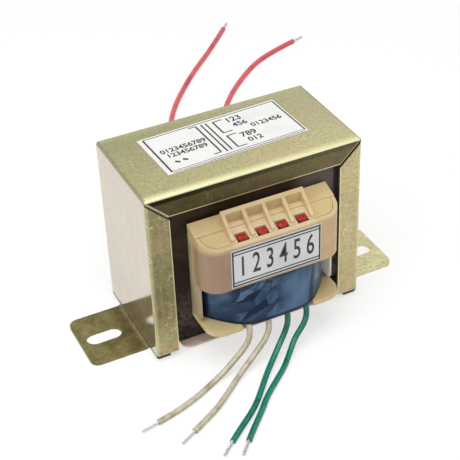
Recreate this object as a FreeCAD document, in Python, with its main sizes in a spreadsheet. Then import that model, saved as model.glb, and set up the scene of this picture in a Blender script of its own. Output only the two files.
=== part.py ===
import FreeCAD, Part
import math
import os
import re
import Sketcher

# Laminated chassis transformer: an EI core with its bobbin in a folded sheet frame.
# Millimetres. +Z is up, +Y points to the rear, and the origin is the centre of the base on the floor.

# Driving dimensions: alias, value, meaning
SIZES = [
    # Chassis frame, folded from one sheet
    ("sheet", 0.8, "thickness of the chassis sheet"),
    ("fold_radius", 0.6, "outer radius of the frame's folds"),
    ("foot_bend", 0.8, "inner radius of the fold between wall and foot"),
    ("wall_play", 0.2, "gap between the core's side and a wall"),
    ("lip_gap", 0.05, "gap between the core's face and a lip"),
    ("side_lip", 5.2, "width of a side lip"),
    ("top_lip", 5.0, "height of the top lip"),
    ("mitre_gap", 0.5, "height of the slit between a side lip and the top lip"),
    ("foot_reach", 13.0, "length of a foot beyond the wall"),
    ("foot_width", 16.2, "width of a foot"),
    ("foot_corner", 2.0, "corner radius of a foot"),
    ("slot_length", 8.2, "length of a mounting slot"),
    ("slot_width", 4.0, "width of a mounting slot"),
    ("slot_inset", 7.3, "distance from the wall to the middle of the slot"),
    ("claw_height", 0.4, "height of a claw's underside above the floor"),
    ("claw_reach", 2.5, "length of a claw under the core"),
    ("claw_relief", 0.6, "gap between a claw and the foot beside it"),
    # Lamination stack
    ("lam_width", 48.0, "width of a lamination"),
    ("outer_leg", 8.0, "width of an outer leg and of a yoke"),
    ("centre_leg", 16.0, "width of the centre leg"),
    ("window_height", 24.0, "height of a window"),
    ("stack_depth", 25.0, "depth of the lamination stack"),
    ("slip", 2.2, "drop of the front pack, which rests on the bobbin"),
    ("liner_thick", 0.45, "thickness of the pressboard strip under the core"),
    ("liner_width", 36.6, "width of the pressboard strip"),
    ("liner_lead", 0.4, "how far the pressboard strip shows in front of the core"),
    ("liner_corner", 2.0, "corner radius of the pressboard strip"),
    # Bobbin
    ("bobbin_play", 0.2, "gap between centre leg and bobbin tube"),
    ("tube_wall", 0.9, "wall of the bobbin tube"),
    ("flange_play", 0.2, "gap between a flange and the outer leg"),
    ("flange_thick", 1.2, "thickness of a flange"),
    ("flange_lap", 1.8, "reach of the bottom flange beyond the wrap's upper part"),
    ("flange_round", 0.5, "corner radius of the bottom flange, as a share of the width beside its notch"),
    ("notch_side", 1.7, "distance from the outermost lead's middle to the end of the lead notch"),
    ("notch_depth", 2.0, "depth of the lead notch"),
    ("ear_lap", 0.05, "how far an ear sticks out beyond the shroud's side"),
    ("ear_gap", 0.8, "gap between core and ears"),
    ("ear_share", 0.5135, "share of the roof's depth behind the ridge, which the ears take"),
    ("ridge_step", 0.25, "step down at the ridge"),
    ("roof_back", 2.9, "height of the roof above the bobbin's top flange, at its rear edge"),
    ("roof_wall", 1.2, "thickness of the roof"),
    ("roof_room", 0.282, "gap between the windings and the roof at its front edge"),
    ("pocket_pitch", 4.6, "distance between terminal pockets"),
    ("pocket_wall", 0.75, "wall of a terminal pocket"),
    ("pocket_gap", 1.9, "distance from the ears' rear edge to the pockets"),
    ("pocket_rise", 2.6, "height of the pockets' rear wall above the roof"),
    ("pocket_ahead", 0.3, "distance from the pockets' side walls to the roof's front edge"),
    ("pocket_bevel", 0.55, "drop of the rear wall's crest towards the front"),
    ("pocket_end", 0.25, "height of a side wall at its front end"),
    ("lid_lap", 0.5, "overlap of the lid with the ears"),
    ("joint_play", 0.15, "gap beside a joint sleeve in its hole"),
    ("joint_behind", 0.5, "gap behind a joint sleeve in its hole"),
    # Shrouds
    ("shroud_room", 0.4, "gap between wrap and shroud"),
    ("shroud_wall", 0.9, "wall of a shroud"),
    ("shroud_corner", 4.2, "outer corner radius of a shroud"),
    ("shroud_height", 13.5, "height of the roof's rear edge above a shroud's lower edge"),
    ("shroud_play", 0.1, "gap between roof and shroud"),
    # Windings
    ("primary_share", 0.4667, "share of the room for windings that the primary takes"),
    ("barrier_build", 0.3, "thickness of the insulation over the primary"),
    ("wrap_thick", 0.4, "thickness of the outer wrap"),
    ("wrap_gap", 0.6, "gap between wrap and leg liner"),
    ("wrap_side", 0.5, "gap between windings and wrap at the sides"),
    ("riser_play", 0.1, "gap between windings and lead risers"),
    ("bend_drop", 0.4, "height of the shroud's lower edge above the start of the flare"),
    ("wrap_flare", 2.7, "how far the wrap's lower edge stands out beyond its upper part"),
    ("wrap_cut_upper", 3.9, "width of the wrap's slanted corner above the flare"),
    ("wrap_cut_lower", 6.1, "width of the wrap's slanted corner at its lower edge"),
    ("wrap_slant", 1.31, "depth of a slanted corner for each millimetre of its width"),
    # Leg liners
    ("strip_thick", 0.4, "thickness of a leg liner"),
    ("strip_reach", 4.6, "reach of a leg liner in front of the core"),
    ("strip_corner", 1.6, "corner radius of a leg liner"),
    # Leads
    ("lead_diameter", 1.3, "outer diameter of a secondary lead"),
    ("mains_diameter", 1.5, "outer diameter of a primary lead"),
    ("core_diameter", 0.8, "diameter of a tinned lead end"),
    ("tip_length", 4.0, "length of a tinned lead end"),
    ("riser_drop", 3.5, "height of the flare's start above the bend of a riser"),
    ("exit_play", 0.55, "gap between a lead and the wrap's lower edge"),
    ("exit_run", 2.4, "length of a lead's first run below the wrap"),
    ("sleeve_gap", 0.1, "height of a joint sleeve's lower end above the windings"),
    ("sleeve_width", 2.3, "width of a joint sleeve"),
    ("sleeve_depth", 1.6, "depth of a joint sleeve"),
    ("sleeve_rise", 0.5, "height of a joint sleeve above the roof"),
    ("sleeve_play", 0.05, "gap between a joint sleeve and the shroud"),
    ("sleeve_round", 0.7, "radius of a joint sleeve's upright edges"),
    ("sleeve_bevel", 0.35, "bevel around a joint sleeve's top"),
    # Labels
    ("label_thick", 0.1, "thickness of a label"),
    ("top_label_width", 33.3, "width of the top label"),
    ("top_label_depth", 15.3, "depth of the top label"),
    ("top_label_turn", 2.5, "angle by which the top label was put on askew"),
    ("top_label_right", -0.3, "place of the top label to the right of the middle"),
    ("top_label_back", 1.8, "place of the top label behind the middle"),
    ("front_label_width", 20.9, "width of the front label"),
    ("front_label_height", 9.4, "height of the front label"),
    ("front_label_low", 0.45, "height of the front label above the shroud's lower edge"),
]

PACKS = 12
POCKETS = 4

# How far a cutting shape runs past the solid
PAST = "1"

# Derived sizes, as expressions of the driving ones
WALL_OUT = "(lam_width / 2 + wall_play + sheet)"
WALL_IN = "(lam_width / 2 + wall_play)"
CORE_LOW = "(claw_height + sheet)"
CORE_HIGH = f"({CORE_LOW} + 2 * outer_leg + window_height)"
CORE_FACE = "(stack_depth / 2)"
FRAME_HIGH = f"({CORE_HIGH} + sheet)"
LIP_FACE = f"({CORE_FACE} + lip_gap + sheet)"
LIP_LOW = "(foot_bend + sheet)"
WINDOW_LOW = f"({CORE_LOW} + outer_leg)"
WINDOW_HIGH = f"({WINDOW_LOW} + window_height)"
PACK = f"(stack_depth / {PACKS})"
FLANGE_HALF = "(lam_width / 2 - outer_leg - flange_play)"
FLANGE_TOP = f"({WINDOW_LOW} + flange_thick)"
BOBBIN_TOP = f"({WINDOW_HIGH} - slip)"
WINDING_TOP = f"({BOBBIN_TOP} - flange_thick)"
TUBE_HALF = "(centre_leg / 2 + bobbin_play + tube_wall)"
TUBE_DEEP = f"({CORE_FACE} + bobbin_play + tube_wall)"
ROOF_HIGH = f"({BOBBIN_TOP} + roof_back)"
EAR_BACK = f"({CORE_FACE} + ear_gap)"
SHROUD_BOTTOM = f"({ROOF_HIGH} - shroud_height)"
WRAP_HALF = f"({FLANGE_HALF} - strip_thick - wrap_gap)"
BUILD = f"({WRAP_HALF} - wrap_thick - wrap_side - {TUBE_HALF})"
PRIMARY = f"(({BUILD} - barrier_build) * primary_share)"
SECOND = f"(({BUILD} - barrier_build) * (1 - primary_share) / 2)"
WRAP_FRONT = f"({TUBE_DEEP} + {BUILD} + riser_play + mains_diameter + wrap_thick)"
WRAP_FOOT = f"({WRAP_FRONT} + wrap_flare)"
FLANGE_FRONT = f"({WRAP_FRONT} + flange_lap)"
WRAP_BEND = f"({SHROUD_BOTTOM} - bend_drop)"
RISER_BEND = f"({WRAP_BEND} - riser_drop)"
SHROUD_HALF = f"({WRAP_HALF} + shroud_room + shroud_wall)"
SHROUD_FACE = f"({WRAP_FRONT} + shroud_room + shroud_wall)"
EAR_HALF = f"({SHROUD_HALF} + ear_lap)"
SLEEVE_BACK = f"({SHROUD_FACE} - shroud_wall - sleeve_play - sleeve_depth)"
SLEEVE_FOOT = f"({WINDING_TOP} + sleeve_gap)"
NOTCH_HALF = f"(({POCKETS} - 1) / 2 * pocket_pitch + notch_side)"
ROOF_FRONT = f"({SHROUD_FACE} - shroud_wall - shroud_play)"
ROOF_DEPTH = f"({ROOF_FRONT} - {EAR_BACK})"
ROOF_FALL = f"(({ROOF_HIGH} - ridge_step - roof_wall - {WINDING_TOP} - roof_room) / {ROOF_DEPTH})"
RIDGE = f"({EAR_BACK} + {ROOF_DEPTH} * ear_share)"
LID_BACK = f"({RIDGE} - lid_lap)"
SHROUD_BACK = f"({CORE_FACE} + ear_gap + roof_wall)"
SHROUD_ROUND = f"min(shroud_corner; {SHROUD_FACE} - {SHROUD_BACK} - shroud_wall)"

doc = FreeCAD.newDocument("chassis_transformer")
dims = doc.addObject("Spreadsheet::Sheet", "dims")
for row, (alias, value, meaning) in enumerate(SIZES, start=1):
    dims.set(f"A{row}", meaning)
    dims.set(f"B{row}", str(value))
    dims.setAlias(f"B{row}", alias)
doc.recompute()


# Helpers that tie geometry to the sheet
def bind(text):
    return re.sub(r"[a-z][a-z_]*", lambda word: word.group() if word.group() in ("sqrt", "min")
                  else "dims." + word.group(), text)


def number(text):
    return float(dims.evalExpression(text))


def fix(sketch, kind, item, point, text):
    row = sketch.addConstraint(Sketcher.Constraint(kind, -1, 1, item, point, number(text)))
    sketch.setExpression(f"Constraints[{row}]", bind(text))


def polygon(sketch, corners):
    first = sketch.GeometryCount
    count = len(corners)
    places = [FreeCAD.Vector(number(across), number(up), 0) for across, up in corners]
    for index, place in enumerate(places):
        sketch.addGeometry(Part.LineSegment(place, places[(index + 1) % count]))
    for index in range(count):
        following = first + (index + 1) % count
        sketch.addConstraint(Sketcher.Constraint("Coincident", first + index, 2, following, 1))
    for index, (across, up) in enumerate(corners):
        fix(sketch, "DistanceX", first + index, 1, across)
        fix(sketch, "DistanceY", first + index, 1, up)


def rectangle(sketch, left, low, right, high):
    polygon(sketch, [(left, low), (right, low), (right, high), (left, high)])


def slot(sketch, middle, length, width):
    first = sketch.GeometryCount
    half = number(f"({length} - {width}) / 2")
    radius = number(f"{width} / 2")
    centre = number(middle)
    up = FreeCAD.Vector(0, 0, 1)
    for side in (1, -1):
        place = FreeCAD.Vector(centre + side * half, 0, 0)
        circle = Part.Circle(place, up, radius)
        start = -math.pi / 2 * side
        sketch.addGeometry(Part.ArcOfCircle(circle, start, start + math.pi))
    right, left = first, first + 1
    for side in (1, -1):
        ends = [FreeCAD.Vector(centre + turn * half, side * radius, 0) for turn in (side, -side)]
        sketch.addGeometry(Part.LineSegment(*ends))
    top, bottom = first + 2, first + 3
    for pair in ((right, 2, top, 1), (top, 2, left, 1), (left, 2, bottom, 1), (bottom, 2, right, 1)):
        sketch.addConstraint(Sketcher.Constraint("Tangent", *pair))
    for arc, side in ((right, "+"), (left, "-")):
        fix(sketch, "DistanceX", arc, 3, f"{middle} {side} ({length} - {width}) / 2")
        sketch.addConstraint(Sketcher.Constraint("PointOnObject", arc, 3, -1))
    row = sketch.addConstraint(Sketcher.Constraint("Radius", right, radius))
    sketch.setExpression(f"Constraints[{row}]", bind(f"{width} / 2"))


def new_body(name):
    body = doc.addObject("PartDesign::Body", name)
    body.Label = name
    return body


def origin_plane(body, role):
    return next(item for item in body.Origin.OriginFeatures if item.Role == role)


def new_sketch(body, name, role, level="0"):
    sketch = body.newObject("Sketcher::SketchObject", name)
    sketch.AttachmentSupport = (origin_plane(body, role), [""])
    sketch.MapMode = "FlatFace"
    sketch.setExpression("AttachmentOffset.Base.z", bind(level))
    return sketch


def extrude(body, kind, sketch, name, length, both_ways=False, backwards=False):
    feature = body.newObject(f"PartDesign::{kind}", name)
    feature.Profile = sketch
    feature.setExpression("Length", bind(length))
    feature.SideType = "Symmetric" if both_ways else "One side"
    feature.Reversed = backwards
    sketch.Visibility = False
    doc.recompute()
    return feature


def mirrored(body, feature, name, role):
    copy = body.newObject("PartDesign::Mirrored", name)
    copy.Originals = [feature]
    copy.MirrorPlane = (origin_plane(body, role), [""])
    body.Tip = copy
    doc.recompute()
    return copy


def whole_mirrored(body, name, role):
    """Mirror all that the body holds so far and join both halves."""
    copy = body.newObject("PartDesign::Mirrored", name)
    copy.TransformMode = "Whole shape"
    copy.MirrorPlane = (origin_plane(body, role), [""])
    body.Tip = copy
    doc.recompute()
    return body


def rounded(body, base, name, chosen, radius):
    names = [f"Edge{index}" for index, edge in enumerate(base.Shape.Edges, start=1)
             if not edge.Degenerated and chosen(edge)]
    feature = body.newObject("PartDesign::Fillet", name)
    feature.Base = (base, names)
    feature.setExpression("Radius", bind(radius))
    doc.recompute()
    return feature


def runs_along(edge, axis):
    if edge.Curve.TypeId != "Part::GeomLine":
        return False
    return abs(abs(edge.Curve.Direction.dot(axis)) - 1) < 1e-6


def close(first, second):
    return abs(first - second) < 1e-4


X_AXIS = FreeCAD.Vector(1, 0, 0)
Y_AXIS = FreeCAD.Vector(0, 1, 0)
Z_AXIS = FreeCAD.Vector(0, 0, 1)


# Chassis frame
def chassis_frame():
    body = new_body("chassis_frame")
    wall_out = number(WALL_OUT)
    wall_in = number(WALL_IN)

    # The closed box that the sheet is folded around, rounded at every fold
    face = new_sketch(body, "frame_face", "XZ_Plane")
    rectangle(face, f"-{WALL_OUT}", LIP_LOW, WALL_OUT, FRAME_HIGH)
    block = extrude(body, "Pad", face, "frame_block", f"2 * {LIP_FACE}", both_ways=True)
    low = number(LIP_LOW)
    rounded(body, block, "frame_folds", lambda edge: edge.CenterOfMass.z > low + 1e-3, "fold_radius")
    inside = new_sketch(body, "frame_inside", "XY_Plane", LIP_LOW)
    rectangle(inside, f"-{WALL_IN}", f"-({LIP_FACE} - sheet)", WALL_IN, f"{LIP_FACE} - sheet")
    extrude(body, "Pocket", inside, "frame_hollow", f"{FRAME_HIGH} - sheet - {LIP_LOW}", backwards=True)

    # The openings between the lips, front and rear
    opening = new_sketch(body, "lip_opening", "XZ_Plane")
    rectangle(opening, f"-({WALL_OUT} - side_lip)", f"{LIP_LOW} - {PAST}", f"{WALL_OUT} - side_lip",
              f"{FRAME_HIGH} - top_lip")
    extrude(body, "Pocket", opening, "lip_window", f"4 * {LIP_FACE}", both_ways=True)

    # The slits where top lip and side lip meet
    for side, word in (("-", "left"), ("", "right")):
        slit = new_sketch(body, f"mitre_{word}", "XZ_Plane", LIP_FACE)
        inner = f"{side}({WALL_OUT} - side_lip)"
        outer = f"{side}{WALL_OUT}"
        polygon(slit, [(inner, f"{FRAME_HIGH} - top_lip"), (inner, f"{FRAME_HIGH} - top_lip - mitre_gap"),
                       (outer, f"{FRAME_HIGH} - mitre_gap"), (outer, FRAME_HIGH)])
        cut = extrude(body, "Pocket", slit, f"mitre_cut_{word}", "fold_radius")
        mirrored(body, cut, f"mitre_rear_{word}", "XZ_Plane")

    # Feet: the middle of each wall is folded outwards
    feet = new_sketch(body, "foot_profile", "XZ_Plane")
    for side in ("-", ""):
        end = f"{side}({WALL_OUT} + foot_reach)"
        polygon(feet, [(f"{side}{WALL_IN}", f"{LIP_LOW} + 2 * sheet"), (f"{side}{WALL_IN}", "0"),
                       (end, "0"), (end, "sheet"),
                       (f"{side}{WALL_OUT}", "sheet"), (f"{side}{WALL_OUT}", f"{LIP_LOW} + 2 * sheet")])
    pads = extrude(body, "Pad", feet, "foot_pads", "foot_width", both_ways=True)
    foot_end = number(f"{WALL_OUT} + foot_reach")
    corners = rounded(body, pads, "foot_corners", lambda edge: runs_along(edge, Z_AXIS)
                      and close(abs(edge.CenterOfMass.x), foot_end), "foot_corner")
    heels = rounded(body, corners, "foot_heels", lambda edge: runs_along(edge, Y_AXIS)
                    and close(edge.CenterOfMass.z, 0) and close(abs(edge.CenterOfMass.x), wall_in),
                    "foot_bend + sheet")
    thick = number("sheet")
    rounded(body, heels, "foot_insteps", lambda edge: runs_along(edge, Y_AXIS)
            and close(edge.CenterOfMass.z, thick) and close(abs(edge.CenterOfMass.x), wall_out), "foot_bend")
    slots = new_sketch(body, "slot_profile", "XY_Plane", "-sheet")
    for side in ("", "-"):
        slot(slots, f"{side}({WALL_OUT} + slot_inset)", "slot_length", "slot_width")
    extrude(body, "Pocket", slots, "foot_slots", "3 * sheet", backwards=True)

    # Claws: the ends of each wall's lower edge are folded inwards under the core
    claws = new_sketch(body, "claw_profile", "XZ_Plane", f"foot_width / 2 + claw_relief")
    for side in ("-", ""):
        polygon(claws, [(f"{side}{WALL_OUT}", f"{LIP_LOW} + sheet"), (f"{side}{WALL_OUT}", "claw_height"),
                        (f"{side}({WALL_IN} - claw_reach)", "claw_height"),
                        (f"{side}({WALL_IN} - claw_reach)", CORE_LOW),
                        (f"{side}{WALL_IN}", CORE_LOW), (f"{side}{WALL_IN}", f"{LIP_LOW} + sheet")])
    front = extrude(body, "Pad", claws, "front_claws",
                    f"{LIP_FACE} - fold_radius - foot_width / 2 - claw_relief")
    both = mirrored(body, front, "rear_claws", "XZ_Plane")
    claw_low = number("claw_height")
    rounded(body, both, "claw_folds", lambda edge: runs_along(edge, Y_AXIS)
            and close(edge.CenterOfMass.z, claw_low) and close(abs(edge.CenterOfMass.x), wall_out),
            "sheet")
    return body


# Lamination stack
def lamination_group(name, corners, first_pack, count, drop="0"):
    """Packs of one kind, two packs apart, each a separate solid."""
    body = new_body(name)
    body.AllowCompound = True
    outline = new_sketch(body, f"{name}_outline", "XZ_Plane", f"{CORE_FACE} - {first_pack} * {PACK}")
    polygon(outline, [(across, f"{up} - {drop}") for across, up in corners])
    pack = extrude(body, "Pad", outline, f"{name}_pack", PACK, backwards=True)
    if count > 1:
        pattern = body.newObject("PartDesign::LinearPattern", f"{name}_packs")
        pattern.Originals = [pack]
        pattern.Direction = (next(item for item in body.Origin.OriginFeatures if item.Role == "Y_Axis"), [""])
        pattern.setExpression("Length", bind(f"2 * {PACK} * {count - 1}"))
        pattern.Occurrences = count
        body.Tip = pattern
        doc.recompute()
    return body


def e_corners(yoke, inner, tip):
    """An E seen from the front: its yoke edge, the window's end and the tips of its legs."""
    outer = "lam_width / 2"
    inside = "(lam_width / 2 - outer_leg)"
    middle = "centre_leg / 2"
    return [(f"-{outer}", yoke), (outer, yoke), (outer, tip), (inside, tip), (inside, inner), (middle, inner),
            (middle, tip), (f"-{middle}", tip), (f"-{middle}", inner), (f"-{inside}", inner),
            (f"-{inside}", tip), (f"-{outer}", tip)]


def i_corners(low, high):
    outer = "lam_width / 2"
    return [(f"-{outer}", low), (outer, low), (outer, high), (f"-{outer}", high)]


def core():
    downwards = e_corners(CORE_HIGH, WINDOW_HIGH, WINDOW_LOW)
    upwards = e_corners(CORE_LOW, WINDOW_LOW, WINDOW_HIGH)
    each = PACKS // 2
    return [
        lamination_group("e_lamination_front", downwards, 0, 1, drop="slip"),
        lamination_group("e_laminations_legs_down", downwards, 2, each - 1),
        lamination_group("e_laminations_legs_up", upwards, 1, each),
        lamination_group("i_laminations_bottom", i_corners(CORE_LOW, WINDOW_LOW), 2, each - 1),
        lamination_group("i_laminations_top", i_corners(WINDOW_HIGH, CORE_HIGH), 1, each),
    ]


def core_strip():
    body = new_body("pressboard_strip")
    outline = new_sketch(body, "strip_outline", "XY_Plane", CORE_LOW)
    rectangle(outline, "-liner_width / 2", f"-({CORE_FACE} + liner_lead)", "liner_width / 2",
              f"{CORE_FACE} + liner_lead")
    plate = extrude(body, "Pad", outline, "strip_plate", "liner_thick", backwards=True)
    rounded(body, plate, "strip_corners", lambda edge: runs_along(edge, Z_AXIS), "liner_corner")
    return body


# Bobbin
def roof_height(reach, step="0"):
    """Height of the roof's top at a distance from the centre plane, in front of the core."""
    return f"({ROOF_HIGH} - {ROOF_FALL} * ({reach} - {EAR_BACK}) - {step})"


def bobbin():
    body = new_body("bobbin")
    # Tube around the centre leg
    ring = new_sketch(body, "tube_ring", "XY_Plane", WINDOW_LOW)
    rectangle(ring, f"-{TUBE_HALF}", f"-{TUBE_DEEP}", TUBE_HALF, TUBE_DEEP)
    hollow_half = f"({TUBE_HALF} - tube_wall)"
    hollow_deep = f"({TUBE_DEEP} - tube_wall)"
    rectangle(ring, f"-{hollow_half}", f"-{hollow_deep}", hollow_half, hollow_deep)
    extrude(body, "Pad", ring, "tube", f"{BOBBIN_TOP} - {WINDOW_LOW}")

    # Bottom flange with a notch for the leads, front and rear
    flange = new_sketch(body, "flange_outline", "XY_Plane", WINDOW_LOW)
    reach = FLANGE_FRONT
    notch = f"({FLANGE_FRONT} - notch_depth)"
    polygon(flange, [(f"-{FLANGE_HALF}", f"-{reach}"), (f"-{NOTCH_HALF}", f"-{reach}"),
                     (f"-{NOTCH_HALF}", f"-{notch}"), (NOTCH_HALF, f"-{notch}"),
                     (NOTCH_HALF, f"-{reach}"), (FLANGE_HALF, f"-{reach}"),
                     (FLANGE_HALF, reach), (NOTCH_HALF, reach), (NOTCH_HALF, notch),
                     (f"-{NOTCH_HALF}", notch), (f"-{NOTCH_HALF}", reach), (f"-{FLANGE_HALF}", reach)])
    rectangle(flange, f"-{hollow_half}", f"-{hollow_deep}", hollow_half, hollow_deep)
    plate = extrude(body, "Pad", flange, "bottom_flange", "flange_thick")
    half = number(FLANGE_HALF)
    front = number(reach)
    low = number(FLANGE_TOP) - 0.01
    rounded(body, plate, "flange_corners", lambda edge: runs_along(edge, Z_AXIS)
            and close(abs(edge.CenterOfMass.x), half) and close(abs(edge.CenterOfMass.y), front)
            and edge.CenterOfMass.z < low, f"({FLANGE_HALF} - {NOTCH_HALF}) * flange_round")

    # Top flange inside the windows
    top = new_sketch(body, "top_outline", "XY_Plane", WINDING_TOP)
    edge_back = f"({CORE_FACE} + ear_gap + roof_wall)"
    rectangle(top, f"-{FLANGE_HALF}", f"-{edge_back}", FLANGE_HALF, edge_back)
    rectangle(top, f"-{hollow_half}", f"-{hollow_deep}", hollow_half, hollow_deep)
    extrude(body, "Pad", top, "top_flange", "flange_thick")

    # Roof over the winding: ears behind the ridge and a lower part inside the shroud's rim
    ears = new_sketch(body, "ear_profile", "YZ_Plane")
    under = roof_height(RIDGE)
    polygon(ears, [(f"-{EAR_BACK}", WINDING_TOP), (f"-{EAR_BACK}", ROOF_HIGH), (f"-{RIDGE}", under),
                   (f"-{RIDGE}", f"{under} - roof_wall"),
                   (f"-{edge_back}", f"{roof_height(edge_back)} - roof_wall"),
                   (f"-{edge_back}", WINDING_TOP)])
    extrude(body, "Pad", ears, "ears", f"2 * {EAR_HALF}", both_ways=True)
    lid = new_sketch(body, "lid_profile", "YZ_Plane")
    polygon(lid, [(f"-{LID_BACK}", roof_height(LID_BACK, "ridge_step")),
                  (f"-{ROOF_FRONT}", roof_height(ROOF_FRONT, "ridge_step")),
                  (f"-{ROOF_FRONT}", f"{roof_height(ROOF_FRONT, 'ridge_step')} - roof_wall"),
                  (f"-{LID_BACK}", f"{roof_height(LID_BACK, 'ridge_step')} - roof_wall")])
    lid_pad = extrude(body, "Pad", lid, "lid", f"2 * ({SHROUD_HALF} - shroud_wall - shroud_play)",
                      both_ways=True)
    lid_front = number(ROOF_FRONT)
    rounded(body, lid_pad, "lid_corners", lambda edge: runs_along(edge, Z_AXIS)
            and close(edge.CenterOfMass.y, -lid_front),
            f"min({SHROUD_ROUND} - shroud_wall - shroud_play; {ROOF_FRONT} - {LID_BACK} - shroud_play)")

    # Terminal pockets: a rear wall and five ribs that run out on the sloping roof
    first = f"({EAR_BACK} + pocket_gap)"
    crest = f"({roof_height(first)} + pocket_rise)"
    rear = new_sketch(body, "pocket_back_profile", "YZ_Plane")
    behind = f"({first} + pocket_wall)"
    polygon(rear, [(f"-{first}", f"{roof_height(first)} - roof_wall / 2"), (f"-{first}", crest),
                   (f"-{behind}", f"{crest} - pocket_bevel"),
                   (f"-{behind}", f"{roof_height(behind)} - roof_wall / 2")])
    extrude(body, "Pad", rear, "pocket_back", f"{POCKETS} * pocket_pitch + pocket_wall", both_ways=True)
    end = f"({ROOF_FRONT} - pocket_ahead)"
    rib = new_sketch(body, "rib_profile", "YZ_Plane", f"-{POCKETS} / 2 * pocket_pitch - pocket_wall / 2")
    polygon(rib, [(f"-{first}", f"{roof_height(first)} - roof_wall / 2"), (f"-{first}", crest),
                  (f"-{end}", f"{roof_height(end)} + pocket_end"),
                  (f"-{end}", f"{roof_height(end)} - roof_wall / 2 - ridge_step")])
    ribs = extrude(body, "Pad", rib, "pocket_rib", "pocket_wall")
    pattern = body.newObject("PartDesign::LinearPattern", "pocket_ribs")
    pattern.Originals = [ribs]
    pattern.Direction = (next(item for item in body.Origin.OriginFeatures if item.Role == "X_Axis"), [""])
    pattern.setExpression("Length", bind(f"{POCKETS} * pocket_pitch"))
    pattern.Occurrences = POCKETS + 1
    body.Tip = pattern
    doc.recompute()

    # Holes for the soldered joints at the front end of each pocket
    holes = new_sketch(body, "joint_holes", "XY_Plane", WINDING_TOP)
    half = "(sleeve_width / 2 + joint_play)"
    for index in range(POCKETS):
        middle = f"({index} - ({POCKETS} - 1) / 2) * pocket_pitch"
        rectangle(holes, f"{middle} - {half}", f"-{SHROUD_FACE}", f"{middle} + {half}",
                  f"-({SLEEVE_BACK} - joint_behind)")
    extrude(body, "Pocket", holes, "joint_cut", f"{ROOF_HIGH} - {WINDING_TOP}", backwards=True)

    # The rear is the same as the front
    return whole_mirrored(body, "rear_half", "XZ_Plane")


# Shrouds: U-shaped covers that hang from the ears around the upper half of the winding
def shroud(name, turn):
    body = new_body(name)
    plan = new_sketch(body, f"{name}_plan", "XY_Plane", SHROUD_BOTTOM)
    inner = f"({SHROUD_HALF} - shroud_wall)"
    face_in = f"({SHROUD_FACE} - shroud_wall)"
    polygon(plan, [(f"-{SHROUD_HALF}", f"-{SHROUD_BACK}"), (f"-{SHROUD_HALF}", f"-{SHROUD_FACE}"),
                   (SHROUD_HALF, f"-{SHROUD_FACE}"), (SHROUD_HALF, f"-{SHROUD_BACK}"),
                   (inner, f"-{SHROUD_BACK}"), (inner, f"-{face_in}"), (f"-{inner}", f"-{face_in}"),
                   (f"-{inner}", f"-{SHROUD_BACK}")])
    wall = extrude(body, "Pad", plan, f"{name}_wall", "shroud_height")
    face = number(SHROUD_FACE)
    deep = number(face_in)
    corners = rounded(body, wall, f"{name}_corners", lambda edge: runs_along(edge, Z_AXIS)
                      and close(edge.CenterOfMass.y, -face), SHROUD_ROUND)
    rounded(body, corners, f"{name}_inner_corners", lambda edge: runs_along(edge, Z_AXIS)
            and close(edge.CenterOfMass.y, -deep), f"{SHROUD_ROUND} - shroud_wall")
    # The upper edge follows the underside of the ears and, ahead of the ridge, the top of the lid
    waste = new_sketch(body, f"{name}_waste", "YZ_Plane")
    before = f"({SHROUD_BACK} - {PAST})"
    beyond = f"({SHROUD_FACE} + {PAST})"
    polygon(waste, [(f"-{before}", f"{roof_height(before)} - roof_wall"),
                    (f"-{RIDGE}", f"{roof_height(RIDGE)} - roof_wall"),
                    (f"-{RIDGE}", roof_height(RIDGE, "ridge_step")),
                    (f"-{beyond}", roof_height(beyond, "ridge_step")),
                    (f"-{beyond}", f"{ROOF_HIGH} + {PAST}"), (f"-{before}", f"{ROOF_HIGH} + {PAST}")])
    extrude(body, "Pocket", waste, f"{name}_rim", f"4 * {SHROUD_HALF}", both_ways=True)
    body.Placement = FreeCAD.Placement(FreeCAD.Vector(), FreeCAD.Rotation(Z_AXIS, turn))
    return body


# Windings, each a closed ring around the one before
def winding(name, inner_build, build, inner_corner):
    body = new_body(name)
    plan = new_sketch(body, f"{name}_plan", "XY_Plane", FLANGE_TOP)
    for extra in (f"{inner_build} + {build}", inner_build):
        rectangle(plan, f"-({TUBE_HALF} + {extra})", f"-({TUBE_DEEP} + {extra})", f"{TUBE_HALF} + {extra}",
                  f"{TUBE_DEEP} + {extra}")
    ring = extrude(body, "Pad", plan, f"{name}_ring", f"{WINDING_TOP} - {FLANGE_TOP}")
    outer = number(f"{TUBE_HALF} + {inner_build} + {build}")
    ring = rounded(body, ring, f"{name}_outer_corners", lambda edge: runs_along(edge, Z_AXIS)
                   and close(abs(edge.CenterOfMass.x), outer), f"{inner_corner} + {build}")
    if number(inner_corner) > 0:
        inner = number(f"{TUBE_HALF} + {inner_build}")
        rounded(body, ring, f"{name}_inner_corners", lambda edge: runs_along(edge, Z_AXIS)
                and close(abs(edge.CenterOfMass.x), inner), inner_corner)
    return body


def windings():
    over_barrier = f"({PRIMARY} + barrier_build)"
    over_first = f"({over_barrier} + {SECOND})"
    return [
        winding("primary_winding", "0", PRIMARY, "0"),
        winding("winding_barrier", PRIMARY, "barrier_build", PRIMARY),
        winding("secondary_winding_a", over_barrier, SECOND, over_barrier),
        winding("secondary_winding_b", over_first, SECOND, over_first),
    ]


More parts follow.
